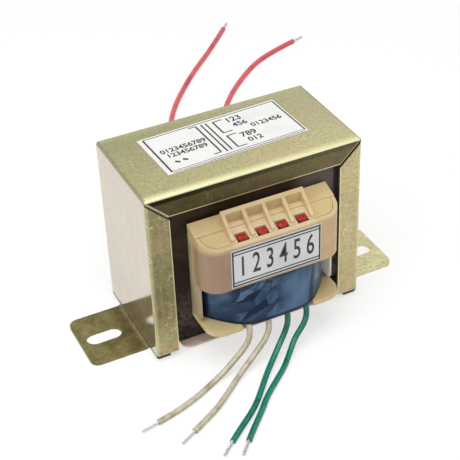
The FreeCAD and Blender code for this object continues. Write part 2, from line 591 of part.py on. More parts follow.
# Outer wrap: tape over the windings and the lead risers, flared towards its lower edge
def wrap_section(body, name, level, reach, cut, thinner="0"):
    sketch = new_sketch(body, name, "XY_Plane", level)
    half = f"({WRAP_HALF} - {thinner})"
    front = f"({reach} - {thinner})"
    slanted = f"({cut} - {thinner} * (wrap_slant + 1 - sqrt(1 + wrap_slant * wrap_slant)) / wrap_slant)"
    side = f"({front} - wrap_slant * {slanted})"
    polygon(sketch, [(f"-{half}", f"-{side}"), (f"-({half} - {slanted})", f"-{front}"),
                     (f"{half} - {slanted}", f"-{front}"), (half, f"-{side}"), (half, side),
                     (f"{half} - {slanted}", front), (f"-({half} - {slanted})", front), (f"-{half}", side)])
    sketch.Visibility = False
    return sketch


def loft(body, kind, name, lower, upper):
    feature = body.newObject(f"PartDesign::{kind}", name)
    feature.Profile = lower
    feature.Sections = [upper]
    feature.Ruled = True
    doc.recompute()
    return feature


def outer_wrap():
    body = new_body("outer_wrap")
    for kind, word, thinner in (("Additive", "outside", "0"), ("Subtractive", "inside", "wrap_thick")):
        lower = wrap_section(body, f"{word}_lower", FLANGE_TOP, WRAP_FOOT, "wrap_cut_lower", thinner)
        upper = wrap_section(body, f"{word}_upper", WRAP_BEND, WRAP_FRONT, "wrap_cut_upper", thinner)
        loft(body, f"{kind}Loft", f"{word}_flare", lower, upper)
        straight = wrap_section(body, f"{word}_straight", WRAP_BEND, WRAP_FRONT, "wrap_cut_upper", thinner)
        extrude(body, "Pad" if thinner == "0" else "Pocket", straight, f"{word}_upright",
                f"{WINDING_TOP} - {WRAP_BEND}", backwards=thinner != "0")
    return body


# Insulating strips between the winding and the core's outer legs
def leg_liner(name, side):
    body = new_body(name)
    level = f"{FLANGE_HALF} - strip_thick" if side > 0 else f"-{FLANGE_HALF}"
    outline = new_sketch(body, f"{name}_outline", "YZ_Plane", level)
    reach = f"({CORE_FACE} + strip_reach)"
    back = f"({SHROUD_BACK} - shroud_play)"
    high = f"({SHROUD_BOTTOM} - shroud_play)"
    polygon(outline, [(f"-{reach}", FLANGE_TOP), (reach, FLANGE_TOP), (reach, high), (back, high),
                      (back, WINDING_TOP), (f"-{back}", WINDING_TOP), (f"-{back}", high),
                      (f"-{reach}", high)])
    strip = extrude(body, "Pad", outline, f"{name}_strip", "strip_thick")
    low = number(FLANGE_TOP)
    rounded(body, strip, f"{name}_corners", lambda edge: runs_along(edge, X_AXIS)
            and close(edge.CenterOfMass.z, low), "strip_corner")
    return body


# Labels
def top_label():
    body = new_body("top_label")
    outline = new_sketch(body, "top_label_outline", "XY_Plane", FRAME_HIGH)
    rectangle(outline, "-top_label_width / 2", "-top_label_depth / 2", "top_label_width / 2",
              "top_label_depth / 2")
    extrude(body, "Pad", outline, "top_label_sheet", "label_thick")
    place = FreeCAD.Vector(number("top_label_right"), number("top_label_back"), 0)
    body.Placement = FreeCAD.Placement(place, FreeCAD.Rotation(Z_AXIS, number("top_label_turn")))
    return body


def front_label():
    body = new_body("front_label")
    outline = new_sketch(body, "front_label_outline", "XZ_Plane", SHROUD_FACE)
    low = f"({SHROUD_BOTTOM} + front_label_low)"
    rectangle(outline, "-front_label_width / 2", low, "front_label_width / 2", f"{low} + front_label_height")
    extrude(body, "Pad", outline, "front_label_sheet", "label_thick")
    return body


# Leads
def pocket_middle(index):
    return number(f"({index} - ({POCKETS} - 1) / 2) * pocket_pitch")


def tube_path(points):
    """Straight runs joined by tangent arcs, each as large as its two runs allow."""
    corners = [FreeCAD.Vector(*point) for point in points]
    edges = []
    radii = []
    start = corners[0]
    for before, corner, after in zip(corners, corners[1:], corners[2:]):
        arriving = (corner - before).normalize()
        leaving = (after - corner).normalize()
        turn = arriving.getAngle(leaving)
        cut = 0.45 * min(before.distanceToPoint(corner), corner.distanceToPoint(after))
        radii.append(cut / math.tan(turn / 2))
        first = corner - arriving * cut
        last = corner + leaving * cut
        bisector = (leaving - arriving).normalize()
        middle = corner + bisector * (radii[-1] / math.cos(turn / 2) - radii[-1])
        edges.append(Part.LineSegment(start, first).toShape())
        edges.append(Part.Arc(first, middle, last).toShape())
        start = last
    edges.append(Part.LineSegment(start, corners[-1]).toShape())
    return Part.Wire(edges), radii


def tube(name, points, diameter):
    path, radii = tube_path(points)
    direction = FreeCAD.Vector(*points[1]) - FreeCAD.Vector(*points[0])
    section = Part.Wire(Part.makeCircle(diameter / 2, FreeCAD.Vector(*points[0]), direction))
    solid = path.makePipeShell([section], True, True)
    ideal = math.pi * diameter ** 2 / 4 * path.Length
    print(f"{name}: length {path.Length:.1f}, smallest radius {min(radii) / diameter:.1f} diameters,"
          f" volume {solid.Volume / ideal:.4f} of section times length")
    return solid


def solid_feature(name, shape):
    feature = doc.addObject("Part::Feature", name)
    feature.Label = name
    feature.Shape = shape
    return feature


def riser_points(index, side, diameter):
    """A riser's top under its joint, its bend, and its lower end where the lead leaves the wrap."""
    across = pocket_middle(index)
    upright = side * number(f"{WRAP_FRONT} - wrap_thick - {diameter} / 2")
    leaving = side * number(f"{WRAP_FOOT} - wrap_thick - exit_play - {diameter} / 2")
    return [FreeCAD.Vector(across, upright, number(SLEEVE_FOOT)),
            FreeCAD.Vector(across, upright, number(RISER_BEND)),
            FreeCAD.Vector(across, leaving, number(FLANGE_TOP))]


def risers(name, pockets, side, diameter):
    upright = [tube(f"{name} {index + 1}", riser_points(index, side, diameter), number(diameter))
               for index in pockets]
    return solid_feature(name, Part.makeCompound(upright))


def joint_sleeves(name, pockets, side):
    """Sleeves over the soldered joints, rounded upright edges and a bevelled top."""
    back = number(SLEEVE_BACK)
    depth = number("sleeve_depth")
    width = number("sleeve_width")
    foot = number(SLEEVE_FOOT)
    top = number(f"{roof_height(SLEEVE_BACK, 'ridge_step')} + sleeve_rise")
    solids = []
    for index in pockets:
        behind = min(side * back, side * (back + depth))
        corner = FreeCAD.Vector(pocket_middle(index) - width / 2, behind, foot)
        block = Part.makeBox(width, depth, top - foot, corner)
        upright = [edge for edge in block.Edges if runs_along(edge, Z_AXIS)]
        block = block.makeFillet(number("sleeve_round"), upright)
        crown = [edge for edge in block.Edges if close(edge.CenterOfMass.z, top)]
        solids.append(block.makeChamfer(number("sleeve_bevel"), crown))
    return solid_feature(name, Part.makeCompound(solids))


# Each lead's route after its first bend: it drops to the floor and lies on it
FLOOR = number("lead_diameter / 2")
MAINS_FLOOR = number("mains_diameter / 2")
LEADS = {
    "white_lead_1": (0, -1, "lead_diameter", [
        (-7.8, -22.8, 5.9), (-9.7, -22.9, 3.9), (-13.9, -24.0, 1.5), (-16.6, -24.9, 0.8),
        (-18.9, -26.0, FLOOR), (-23.0, -27.9, FLOOR), (-28.2, -29.7, FLOOR), (-32.4, -30.6, FLOOR)]),
    "white_lead_2": (1, -1, "lead_diameter", [
        (-3.2, -22.8, 5.9), (-5.3, -23.2, 3.8), (-8.0, -24.2, 2.2), (-11.0, -25.6, 1.0),
        (-14.2, -28.0, FLOOR), (-19.4, -32.2, FLOOR), (-23.4, -34.5, FLOOR), (-26.9, -36.4, FLOOR)]),
    "green_lead_1": (2, -1, "lead_diameter", [
        (1.5, -22.4, 5.2), (-0.4, -23.2, 2.9), (-3.7, -25.8, 1.2), (-6.3, -28.3, FLOOR),
        (-8.8, -31.2, FLOOR), (-11.9, -34.8, FLOOR), (-15.0, -37.6, FLOOR), (-18.4, -40.1, FLOOR),
        (-21.4, -42.6, FLOOR)]),
    "green_lead_2": (3, -1, "lead_diameter", [
        (5.9, -22.8, 5.8), (3.4, -23.1, 3.0), (0.9, -25.2, 1.1), (-2.0, -28.2, FLOOR),
        (-5.0, -30.7, FLOOR), (-9.3, -34.3, FLOOR), (-12.2, -37.6, FLOOR), (-15.5, -40.8, FLOOR),
        (-18.4, -43.9, FLOOR)]),
    "red_lead_1": (0, 1, "mains_diameter", [
        (-6.2, 23.6, 5.7), (-4.6, 26.0, 3.1), (-3.1, 30.5, 1.3), (0.4, 37.4, MAINS_FLOOR),
        (4.6, 47.2, MAINS_FLOOR), (9.5, 58.0, MAINS_FLOOR), (15.0, 70.9, MAINS_FLOOR),
        (21.3, 82.6, MAINS_FLOOR), (28.5, 91.9, MAINS_FLOOR), (37.0, 101.5, MAINS_FLOOR),
        (47.0, 111.3, MAINS_FLOOR), (56.6, 122.0, MAINS_FLOOR)]),
    "red_lead_2": (3, 1, "mains_diameter", [
        (7.6, 23.6, 5.7), (9.3, 26.0, 3.1), (12.1, 31.2, 1.2), (15.9, 38.4, MAINS_FLOOR),
        (19.6, 46.8, MAINS_FLOOR), (23.2, 55.0, MAINS_FLOOR), (27.3, 63.5, MAINS_FLOOR),
        (31.6, 71.1, MAINS_FLOOR), (36.5, 78.5, MAINS_FLOOR), (42.0, 84.9, MAINS_FLOOR),
        (48.5, 91.1, MAINS_FLOOR), (55.3, 96.6, MAINS_FLOOR), (63.4, 100.6, MAINS_FLOOR),
        (71.8, 103.4, MAINS_FLOOR)]),
}


def leads():
    made = []
    for name, (index, side, diameter, route) in LEADS.items():
        _, bend, leaving = riser_points(index, side, diameter)
        first = leaving + (leaving - bend).normalize() * number("exit_run")
        points = [leaving, first] + [FreeCAD.Vector(*point) for point in route]
        made.append(solid_feature(name, tube(name, points, number(diameter))))
        along = (points[-1] - points[-2]).normalize()
        tip = Part.makeCylinder(number("core_diameter / 2"), number("tip_length"), points[-1], along)
        made.append(solid_feature(f"{name}_tip", tip))
    return made


def check(pieces):
    for item in doc.Objects:
        if "Invalid" in item.State or "Error" in item.State:
            raise RuntimeError(f"{item.Name} is {item.State}")
    for piece in pieces:
        if piece.Shape.isNull() or not piece.Shape.isValid():
            raise RuntimeError(f"{piece.Label} has no valid shape")


def main():
    pieces = [chassis_frame()] + core() + [core_strip(), bobbin()]
    pieces += [shroud("front_shroud", 0), shroud("rear_shroud", 180)] + windings() + [outer_wrap()]
    pieces += [leg_liner("left_leg_liner", -1), leg_liner("right_leg_liner", 1)]
    pieces += [joint_sleeves("front_joint_sleeves", range(POCKETS), -1),
               joint_sleeves("rear_joint_sleeves", (0, POCKETS - 1), 1)]
    pieces += [risers("front_lead_risers", range(POCKETS), -1, "lead_diameter"),
               risers("rear_lead_risers", (0, POCKETS - 1), 1, "mains_diameter")]
    pieces += leads() + [top_label(), front_label()]
    doc.recompute()
    check(pieces)
    os.makedirs("parts", exist_ok=True)
    for piece in pieces:
        piece.Shape.exportStep(f"parts/{piece.Label}.step")
        box = piece.Shape.BoundBox
        print(f"{piece.Label}: {len(piece.Shape.Solids)} solids, {piece.Shape.Volume:.1f} mm3,"
              f" x {box.XMin:.2f} {box.XMax:.2f}, y {box.YMin:.2f} {box.YMax:.2f},"
              f" z {box.ZMin:.2f} {box.ZMax:.2f}")


if __name__ == "__main__":
    main()
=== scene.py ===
"""Finishes of a laminated chassis transformer: frame, core, bobbin, windings, leads and labels."""

import math

import bmesh
import bpy
from mathutils import Matrix, Vector, noise


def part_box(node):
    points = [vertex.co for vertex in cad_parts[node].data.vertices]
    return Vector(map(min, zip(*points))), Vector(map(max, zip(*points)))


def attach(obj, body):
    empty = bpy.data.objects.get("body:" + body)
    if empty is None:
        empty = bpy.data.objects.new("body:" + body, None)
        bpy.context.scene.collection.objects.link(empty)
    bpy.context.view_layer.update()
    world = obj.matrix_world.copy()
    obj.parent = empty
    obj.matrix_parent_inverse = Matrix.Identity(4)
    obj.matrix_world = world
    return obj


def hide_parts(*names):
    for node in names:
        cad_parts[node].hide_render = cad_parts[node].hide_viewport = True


bl_info = {
    "name": "Laminated Chassis Transformer",
    "version": (1, 0, 0),
    "blender": (4, 5, 0),
    "location": "3D View > Sidebar > Transformer",
    "description": "Dresses the solids of a laminated chassis transformer and sets its studio",
    "category": "Object",
}

MM = 0.001

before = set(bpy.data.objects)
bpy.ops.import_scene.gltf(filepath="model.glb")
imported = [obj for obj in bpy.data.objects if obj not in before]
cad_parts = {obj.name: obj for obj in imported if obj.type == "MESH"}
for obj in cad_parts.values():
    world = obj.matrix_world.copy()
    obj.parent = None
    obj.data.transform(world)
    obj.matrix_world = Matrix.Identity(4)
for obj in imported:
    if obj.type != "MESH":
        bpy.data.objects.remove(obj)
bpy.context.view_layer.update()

# Places and sizes in metres, most of them taken from the solids
FRAME_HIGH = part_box("chassis_frame")[1]
CORE_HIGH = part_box("i_laminations_top")[1]
SHROUD_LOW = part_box("front_shroud")[0]
WRAP_LOW, WRAP_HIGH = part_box("outer_wrap")
TOP_LABEL_LOW, TOP_LABEL_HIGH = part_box("top_label")
FRONT_LABEL_LOW, FRONT_LABEL_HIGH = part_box("front_label")
WALL = CORE_HIGH.x + 1.0 * MM
LIP = FRAME_HIGH.y
LIP_WIDTH = 5.2 * MM
LIP_HEIGHT = 5.0 * MM
MITRE_SLOPE = LIP_HEIGHT / LIP_WIDTH
OPENING = WALL - LIP_WIDTH
OPENING_TOP = FRAME_HIGH.z - LIP_HEIGHT
FOLD = 0.6 * MM
TIP_LENGTH = 4.0 * MM
STRAND = 0.13 * MM
TWIST = 0.8
TWIST_STEPS = 16

# Blue tape: the attribute for its haze and painted sheen, the middle of its slack stretch, its section and
# its creases.
# The cuts are in millimetres. A crease is direction in degrees, period in metres and depth as a share.
HAZE_AND_SHEEN = "haze"
SLACK = -4.6 * MM
FILM = 0.3 * MM
FLARE = 2.7 * MM
UPPER_CUT, LOWER_CUT = 3.9, 6.1
SLANT = 1.31
BULGE = ((0.0, 1.0), (0.20, 1.0), (0.34, 0.985), (0.47, 0.945), (0.56, 0.875), (0.65, 0.76), (0.74, 0.60),
         (0.83, 0.43), (0.92, 0.235), (0.975, 0.09), (1.0, 0.0))
CREASES = ((62.0, 4.6 * MM, 0.65), (118.0, 3.1 * MM, 0.40), (20.0, 5.3 * MM, 0.45), (155.0, 2.1 * MM, 0.16))

# Print on the labels, in millimetres from their middles. A border line has its width as a share,
# a bracket is spine, high, low and reach, and a number is text, across, up and height.
BORDER_SIDES = ((-15.5, 1.5), (16.2, 1.2))
BORDER_LOW, BORDER_HIGH = -7.0, 7.1
BORDER_LINES = ((7.1, 0.8), (-6.8, 0.6), (-7.4, 0.6))
CORE_LINES = (-2.0, -0.9)
CORE_LOW, CORE_TOP = -5.9, 6.4
BRACKETS = ((-3.3, 6.4, -5.5, -1.7), (0.7, 6.0, 0.9, 2.2), (0.7, -0.5, -5.6, 2.2))
DASHES = (-13.2, -11.4)
DASH_RUN, DASH_HIGH, DASH_LOW = 0.9, -3.7, -4.4
TOP_NUMBERS = (("0123456789", -9.1, 0.7, 1.5), ("123456789", -9.1, -1.3, 1.5), ("123", 5.2, 5.0, 1.8),
               ("456", 5.6, 2.6, 1.6), ("0123456", 11.0, 0.6, 1.5), ("789", 5.2, -1.9, 1.8),
               ("012", 5.6, -4.3, 1.6))
PRINT = 0.02 * MM
SIDE_INSET, EDGE_INSET, RULE_INSET = 0.35 * MM, 0.4 * MM, 1.15 * MM

# Routes of the leads from their exits under the wrap, in millimetres, with the heights at which the
# middles of a thin and of a mains lead lie on the floor
FLOOR = 0.65
MAINS = 0.75
LEAD_ROUTES = {
    "white_lead_1": ("white_pvc", [
        (-6.9, -21.5, 10.4), (-6.9, -22.3, 8.14), (-7.8, -22.8, 5.9), (-9.7, -22.9, 3.9),
        (-13.9, -24.0, 1.5), (-16.6, -24.9, 0.8), (-18.9, -26.0, FLOOR), (-23.0, -27.9, FLOOR),
        (-28.2, -29.7, FLOOR), (-32.4, -30.6, FLOOR)]),
    "white_lead_2": ("white_pvc", [
        (-2.3, -21.5, 10.4), (-2.3, -22.3, 8.14), (-3.2, -22.8, 5.9), (-5.3, -23.2, 3.8),
        (-8.0, -24.2, 2.2), (-11.0, -25.6, 1.0), (-14.2, -28.0, FLOOR), (-19.4, -32.2, FLOOR),
        (-23.4, -34.5, FLOOR), (-26.9, -36.4, FLOOR)]),
    "green_lead_1": ("green_pvc", [
        (2.3, -21.5, 10.4), (2.3, -22.3, 8.14), (1.5, -22.4, 5.2), (-0.4, -23.2, 2.9),
        (-3.7, -25.8, 1.2), (-6.3, -28.3, FLOOR), (-8.8, -31.2, FLOOR), (-11.9, -34.8, FLOOR),
        (-15.0, -37.6, FLOOR), (-18.4, -40.1, FLOOR), (-21.4, -42.6, FLOOR)]),
    "green_lead_2": ("green_pvc", [
        (6.9, -21.5, 10.4), (6.9, -22.3, 8.14), (5.9, -22.8, 5.8), (3.4, -23.1, 3.0),
        (0.9, -25.2, 1.1), (-2.0, -28.2, FLOOR), (-5.0, -30.7, FLOOR), (-9.3, -34.3, FLOOR),
        (-12.2, -37.6, FLOOR), (-15.5, -40.8, FLOOR), (-18.4, -43.9, FLOOR)]),
    "red_lead_1": ("red_pvc", [
        (-6.9, 21.4, 10.4), (-6.9, 22.24, 8.15), (-6.2, 23.6, 5.7), (-4.6, 26.0, 3.1),
        (-3.1, 30.5, 1.3), (0.4, 37.4, MAINS), (4.6, 47.2, MAINS), (9.5, 58.0, MAINS),
        (15.0, 70.9, MAINS), (21.3, 82.6, MAINS), (28.5, 91.9, MAINS), (37.0, 101.5, MAINS),
        (47.0, 111.3, MAINS), (56.6, 122.0, MAINS)]),
    "red_lead_2": ("red_pvc", [
        (6.9, 21.4, 10.4), (6.9, 22.24, 8.15), (7.6, 23.6, 5.7), (9.3, 26.0, 3.1),
        (12.1, 31.2, 1.2), (15.9, 38.4, MAINS), (19.6, 46.8, MAINS), (23.2, 55.0, MAINS),
        (27.3, 63.5, MAINS), (31.6, 71.1, MAINS), (36.5, 78.5, MAINS), (42.0, 84.9, MAINS),
        (48.5, 91.1, MAINS), (55.3, 96.6, MAINS), (63.4, 100.6, MAINS), (71.8, 103.4, MAINS)]),
}


def mm(*values):
    """Millimetres as metres."""
    return tuple(value * MM for value in values)


def border(place, low, high):
    """The two ends of a soft border, given in millimetres from a place in metres."""
    return place + low * MM, place + high * MM


# Camera and lamps, in metres, with the size of each square lamp
CAMERA_PLACE = Vector((-93.586, -201.783, 178.944)) * MM
CAMERA_TARGET = Vector((-0.371, 0.0, 18.506)) * MM
CAMERA_ROLL = math.radians(-2.429)
LENS = 96.28
FLOOR_REACH = 4.0
LAMP_TARGET = Vector((0.0, 0.0, 20.0)) * MM
LAMPS = {"key": ((-0.12, -0.10, 0.62), 0.55), "side": ((-0.60, -0.16, 0.26), 0.45),
         "fill": ((0.42, -0.52, 0.30), 0.45)}

# Soft borders on the frame
TOP_FACE = border(FRAME_HIGH.z, -0.30, -0.05)
LIP_FACE = border(LIP, -0.45, -0.15)
FOOT_HEIGHT = mm(0.9, 2.4)
FOOT_SIDE = border(WALL, -0.8, 0.0)
FOOT_ROOT = border(WALL, 1.5, 5.0)
FOOT_BEND = border(WALL, 0.3, 1.6)
TOE_HEIGHT = mm(1.3, 1.6)
TOE_REACH = mm(8.4, 8.6)
WALL_FADE = mm(8.0, 34.0)
LIP_FADE = (-0.3 * WALL, 0.3 * WALL)
LIP_PALE = mm(4.0, 15.0)
TOP_LIP_FADE = border(FRAME_HIGH.z, -1.7, -1.2)
FRONT_MARGIN = border(LIP, -2.4, -0.7)
ROLL_HEIGHT = (FRAME_HIGH.z - 0.9 * FOLD, FRAME_HIGH.z - 0.3 * FOLD)
ROLL_REACH = (LIP - 1.5 * FOLD, LIP - 0.8 * FOLD)
UPRIGHT_SIDE = border(WALL, -0.9, -0.5)
UPRIGHT_REACH = (LIP - 0.9 * FOLD, LIP - 0.3 * FOLD)
SIDE_FOLD = border(WALL, -0.75, -0.45)
SIDE_FOLD_HEIGHT = border(FRAME_HIGH.z, -0.8, -0.4)
RIM_HEIGHT = border(OPENING_TOP, 0.15, 0.3)
RIM_SIDE = border(OPENING, 0.15, 0.3)
MITRE_EDGE = mm(-0.25, -0.15)
MITRE_RIM = mm(0.10, 0.25)
MITRE_SHADOW = mm(-1.05, -0.80)

# Soft borders on core, mouldings, sleeves and tape
YOKE_HEIGHT = mm(31.0, 36.0)
CLEAN_SIDE = mm(7.0, 13.0)
CLEAN_HEIGHT = mm(28.0, 33.0)
RIGHT_LIP_SHADOW_SIDE = border(OPENING, -1.5, -0.9)
LIP_SHADOW_SIDE = border(OPENING, -1.2, 0.0)
BARE_HEIGHT = mm(9.0, 20.0)
SKIRT_LOW = mm(15.0, 18.0)
SKIRT_HIGH = mm(29.6, 31.2)
SKIRT_REACH = mm(14.6, 17.0)
SKIRT_SIDES = mm(-16.0, 16.0)
POCKET_SIDE = mm(9.2, 9.7)
POCKET_REACH = mm(15.0, 16.5)
POCKET_LOW = mm(29.5, 31.0)
POCKET_HIGH = mm(32.4, 33.6)
FLANGE_HEIGHT = mm(12.0, 14.0)
SLEEVE_SHADE = mm(30.8, 31.9)
SLACK_SIDE = mm(3.4, 6.0)
WRAP_EDGE = border(WRAP_LOW.z, 0.3, 0.9)

# Soft borders of the tape's haze, its painted highlight on the right and its painted shade at the top and on
# the left, and the place and slope of its long crease, along which shade is painted
SLACK_FADE = mm(3.8, 6.4)
RIGHT_FADE = mm(0.0, 6.0)
UPPER_FADE = mm(18.4, 20.0)
LEFT_FADE = mm(-14.6, -13.4)
CREASE_X, CREASE_Z = mm(12.6, 24.0)
CREASE_SLOPE = 0.36
CREASE_WIDTH = mm(0.3, 1.1)

# Tints that no setting holds
NEUTRAL = (1.0, 1.0, 1.0)
TOP_DEPTH = [(0.0, (1.12, 1.10, 1.04)), (0.35, NEUTRAL), (1.0, (0.90, 0.93, 0.92))]
RAINBOW = [(0.30, (0.85, 1.06, 0.78)), (0.44, (1.04, 1.0, 0.92)), (0.56, (1.10, 0.92, 0.98)),
           (0.70, (0.90, 0.88, 0.70))]
FINE_GRAIN = [(0.32, (0.80, 0.79, 0.74)), (0.50, NEUTRAL), (0.68, (1.20, 1.19, 1.14))]
PATCHES = [(0.38, (0.64, 0.62, 0.55)), (0.50, NEUTRAL), (0.62, (1.30, 1.30, 1.24))]
SKIRT_SHADING = [(0.0, (0.70, 0.63, 0.62)), (0.35, (0.74, 0.67, 0.66)), (1.0, (1.25, 1.10, 0.98))]
POCKET_TINT = (1.08, 1.16, 1.28)
FLANGE_TINT = (1.14, 1.17, 1.20)
FOOT_SHADE = (0.06, 0.048, 0.018)
TOE_SHADE = (0.012, 0.009, 0.004)
MITRE_SHADOW_COLOUR = (0.008, 0.006, 0.003)
YOKE_VARNISH = (0.060, 0.030, 0.016)
CLEAN_STEEL = (0.14, 0.110, 0.105)
CORE_SHADOW = (0.003, 0.002, 0.002)
SHEET_LINE = (0.02, 0.012, 0.010)
RUST = (0.075, 0.032, 0.018)
BOARD_STAIN = (0.62, 0.48, 0.40)
BOARD_FIBRE = (0.74, 0.64, 0.56)
POCKET_ORANGE = (0.68, 0.45, 0.28)
NYLON_DIRT = (0.36, 0.25, 0.12)
SLEEVE_WEAR = (0.62, 0.07, 0.04)
SLEEVE_SHADOW = (0.05, 0.002, 0.001)
INK_BLACK = (0.015, 0.015, 0.018)
INK_THIN = (0.09, 0.09, 0.10)
TIN = (0.62, 0.61, 0.60)
BARE_COPPER = (0.50, 0.36, 0.26)
WIRE_GAP = (0.10, 0.03, 0.012)
WIRE_TOP = (0.46, 0.17, 0.06)
FILM_LIGHT = (0.62, 0.50, 0.20)
FILM_DEEP = (0.48, 0.36, 0.12)
WHITE_SOIL_AND_SHADE = (0.33, 0.25, 0.14)
GREEN_SOIL_AND_SHADE = (0.002, 0.07, 0.05)
RED_SOIL_AND_SHADE = (0.34, 0.018, 0.03)
LEFT_LINER = ((0.44, 0.37, 0.22), (0.34, 0.27, 0.14))
RIGHT_LINER_PAINTED_LIGHT = ((0.97, 0.95, 0.80), (0.92, 0.89, 0.74))
TOP_PAPER_SHADE = (0.78, 0.78, 0.75)
FRONT_PAPER_SHADE = (0.60, 0.60, 0.60)
FLOOR_PATCH = (0.78, 0.78, 0.78)
FLOOR_SEEN = (0.42, 0.42, 0.42)


# Node trees
class Tree:
    """A node tree with short ways to add and join nodes."""

    def __init__(self, owner):
        owner.use_nodes = True
        self.tree = owner.node_tree
        self.tree.nodes.clear()

    def add(self, kind, values=(), **settings):
        node = self.tree.nodes.new(kind)
        for key, value in settings.items():
            setattr(node, key, value)
        for key, value in dict(values).items():
            self.give(node.inputs[key], value)
        return node

    def give(self, socket, value):
        if isinstance(value, bpy.types.NodeSocket):
            self.tree.links.new(value, socket)
        else:
            socket.default_value = flat(value) if socket.type == "RGBA" else value

    def math(self, operation, first, second=0.0, third=0.0):
        return self.add("ShaderNodeMath", {0: first, 1: second, 2: third}, operation=operation).outputs[0]

    def times(self, first, *others):
        for other in others:
            first = self.math("MULTIPLY", first, other)
        return first

    def most(self, first, *others):
        for other in others:
            first = self.math("MAXIMUM", first, other)
        return first

    def scaled(self, value, gain, shift):
        return self.math("MULTIPLY_ADD", value, gain, shift)

    def less(self, first, second):
        return self.math("SUBTRACT", first, second)

    def invert(self, value):
        return self.less(1.0, value)

    def mix(self, factor, first, second, blend="MIX"):
        values = {0: factor, 6: first, 7: second}
        return self.add("ShaderNodeMix", values, data_type="RGBA", blend_type=blend).outputs[2]

    def tint(self, factor, colour, tint):
        return self.mix(factor, colour, tint, "MULTIPLY")

    def mix_value(self, factor, first, second):
        return self.add("ShaderNodeMix", {0: factor, 2: first, 3: second}, data_type="FLOAT").outputs[0]

    def ramp(self, factor, stops):
        node = self.add("ShaderNodeValToRGB", {0: factor})
        elements = node.color_ramp.elements
        while len(elements) < len(stops):
            elements.new(0.5)
        for element, (place, colour) in zip(elements, stops):
            element.position = place
            element.color = flat(colour)
        return node.outputs[0]

    def band(self, value, low, high):
        """0 below low, 1 above high, smooth between."""
        values = {0: value, 1: low, 2: high}
        return self.add("ShaderNodeMapRange", values, interpolation_type="SMOOTHSTEP").outputs[0]

    def below(self, value, low, high):
        """1 below low, 0 above high, smooth between."""
        return self.invert(self.band(value, low, high))

    def spread(self, value, low, high):
        """Maps 0 to 1 onto low to high."""
        return self.add("ShaderNodeMapRange", {0: value, 3: low, 4: high}).outputs[0]

    def axes(self, vector):
        return self.add("ShaderNodeSeparateXYZ", {0: vector}).outputs[:3]

    def direct(self):
        """1 for a ray from the camera, off metal or through glass."""
        path = self.add("ShaderNodeLightPath").outputs
        return self.most(path["Is Camera Ray"], path["Is Glossy Ray"], path["Is Transmission Ray"])


class Finish(Tree):
    """The tree of a new material, with the place of each point on the piece."""

    def __init__(self, name):
        self.material = bpy.data.materials.new(name)
        super().__init__(self.material)
        self.place = self.add("ShaderNodeTexCoord").outputs["Object"]
        self.x, self.y, self.z = self.axes(self.place)
        self.reach_x = self.math("ABSOLUTE", self.x)
        self.reach_y = self.math("ABSOLUTE", self.y)

    def noise(self, scale, detail=3.0, roughness=0.55, stretch=None, distortion=0.0):
        place = self.place
        if stretch:
            place = self.add("ShaderNodeMapping", {0: place, 3: stretch}).outputs[0]
        return self.add("ShaderNodeTexNoise", {"Vector": place, "Scale": scale, "Detail": detail,
                                               "Roughness": roughness, "Distortion": distortion}).outputs[0]

    def bump(self, height, strength, distance, under=None):
        values = {"Strength": strength, "Distance": distance * MM, "Height": height}
        if under:
            values["Normal"] = under
        return self.add("ShaderNodeBump", values).outputs[0]

    def surface(self, colour, roughness, normal, **others):
        values = {"Base Color": colour, "Roughness": roughness, "Normal": normal}
        values.update({key.replace("_", " "): value for key, value in others.items()})
        shader = self.add("ShaderNodeBsdfPrincipled", values)
        self.add("ShaderNodeOutputMaterial", {"Surface": shader.outputs[0]})
        return self.material


def flat(colour):
    return (*colour, 1.0)


def pvc(name, colour, soil_and_shade, soil_and_shade_share):
    """Extruded insulation: a satin skin with smudges and handling marks, darker on its underside with
    painted shade that is partly real dirt.
    """
    tree = Finish(name)
    smudge = tree.noise(260.0, 4.0, 0.65)
    speck = tree.noise(1500.0, 2.0, 0.7)
    tone = tree.mix(tree.band(smudge, 0.45, 0.75), colour, soil_and_shade)
    tone = tree.mix(tree.times(tree.band(speck, 0.60, 0.72), soil_and_shade_share), tone, soil_and_shade)
    # Painted shade: the lower sides of each lead turn towards the dark colour, which is partly real dirt
    _, _, upward = tree.axes(tree.add("ShaderNodeNewGeometry").outputs["Normal"])
    underside = tree.times(tree.below(upward, -0.15, 0.80), 0.60 + 0.4 * soil_and_shade_share)
    tone = tree.mix(tree.times(underside, tree.band(smudge, 0.20, 0.60)), tone, soil_and_shade)
    normal = tree.bump(tree.noise(900.0, 2.0), 0.25, 0.03)
    return tree.surface(tone, tree.spread(smudge, 0.18, 0.34), normal, IOR=1.5, Subsurface_Weight=0.08,
                        Subsurface_Scale=0.4 * MM)


def tinned_copper():
    tree = Finish("tinned_copper")
    patch = tree.noise(1200.0)
    tone = tree.mix(tree.band(patch, 0.55, 0.75), TIN, BARE_COPPER)
    return tree.surface(tone, tree.spread(patch, 0.18, 0.42), tree.bump(patch, 0.4, 0.04), Metallic=1.0)


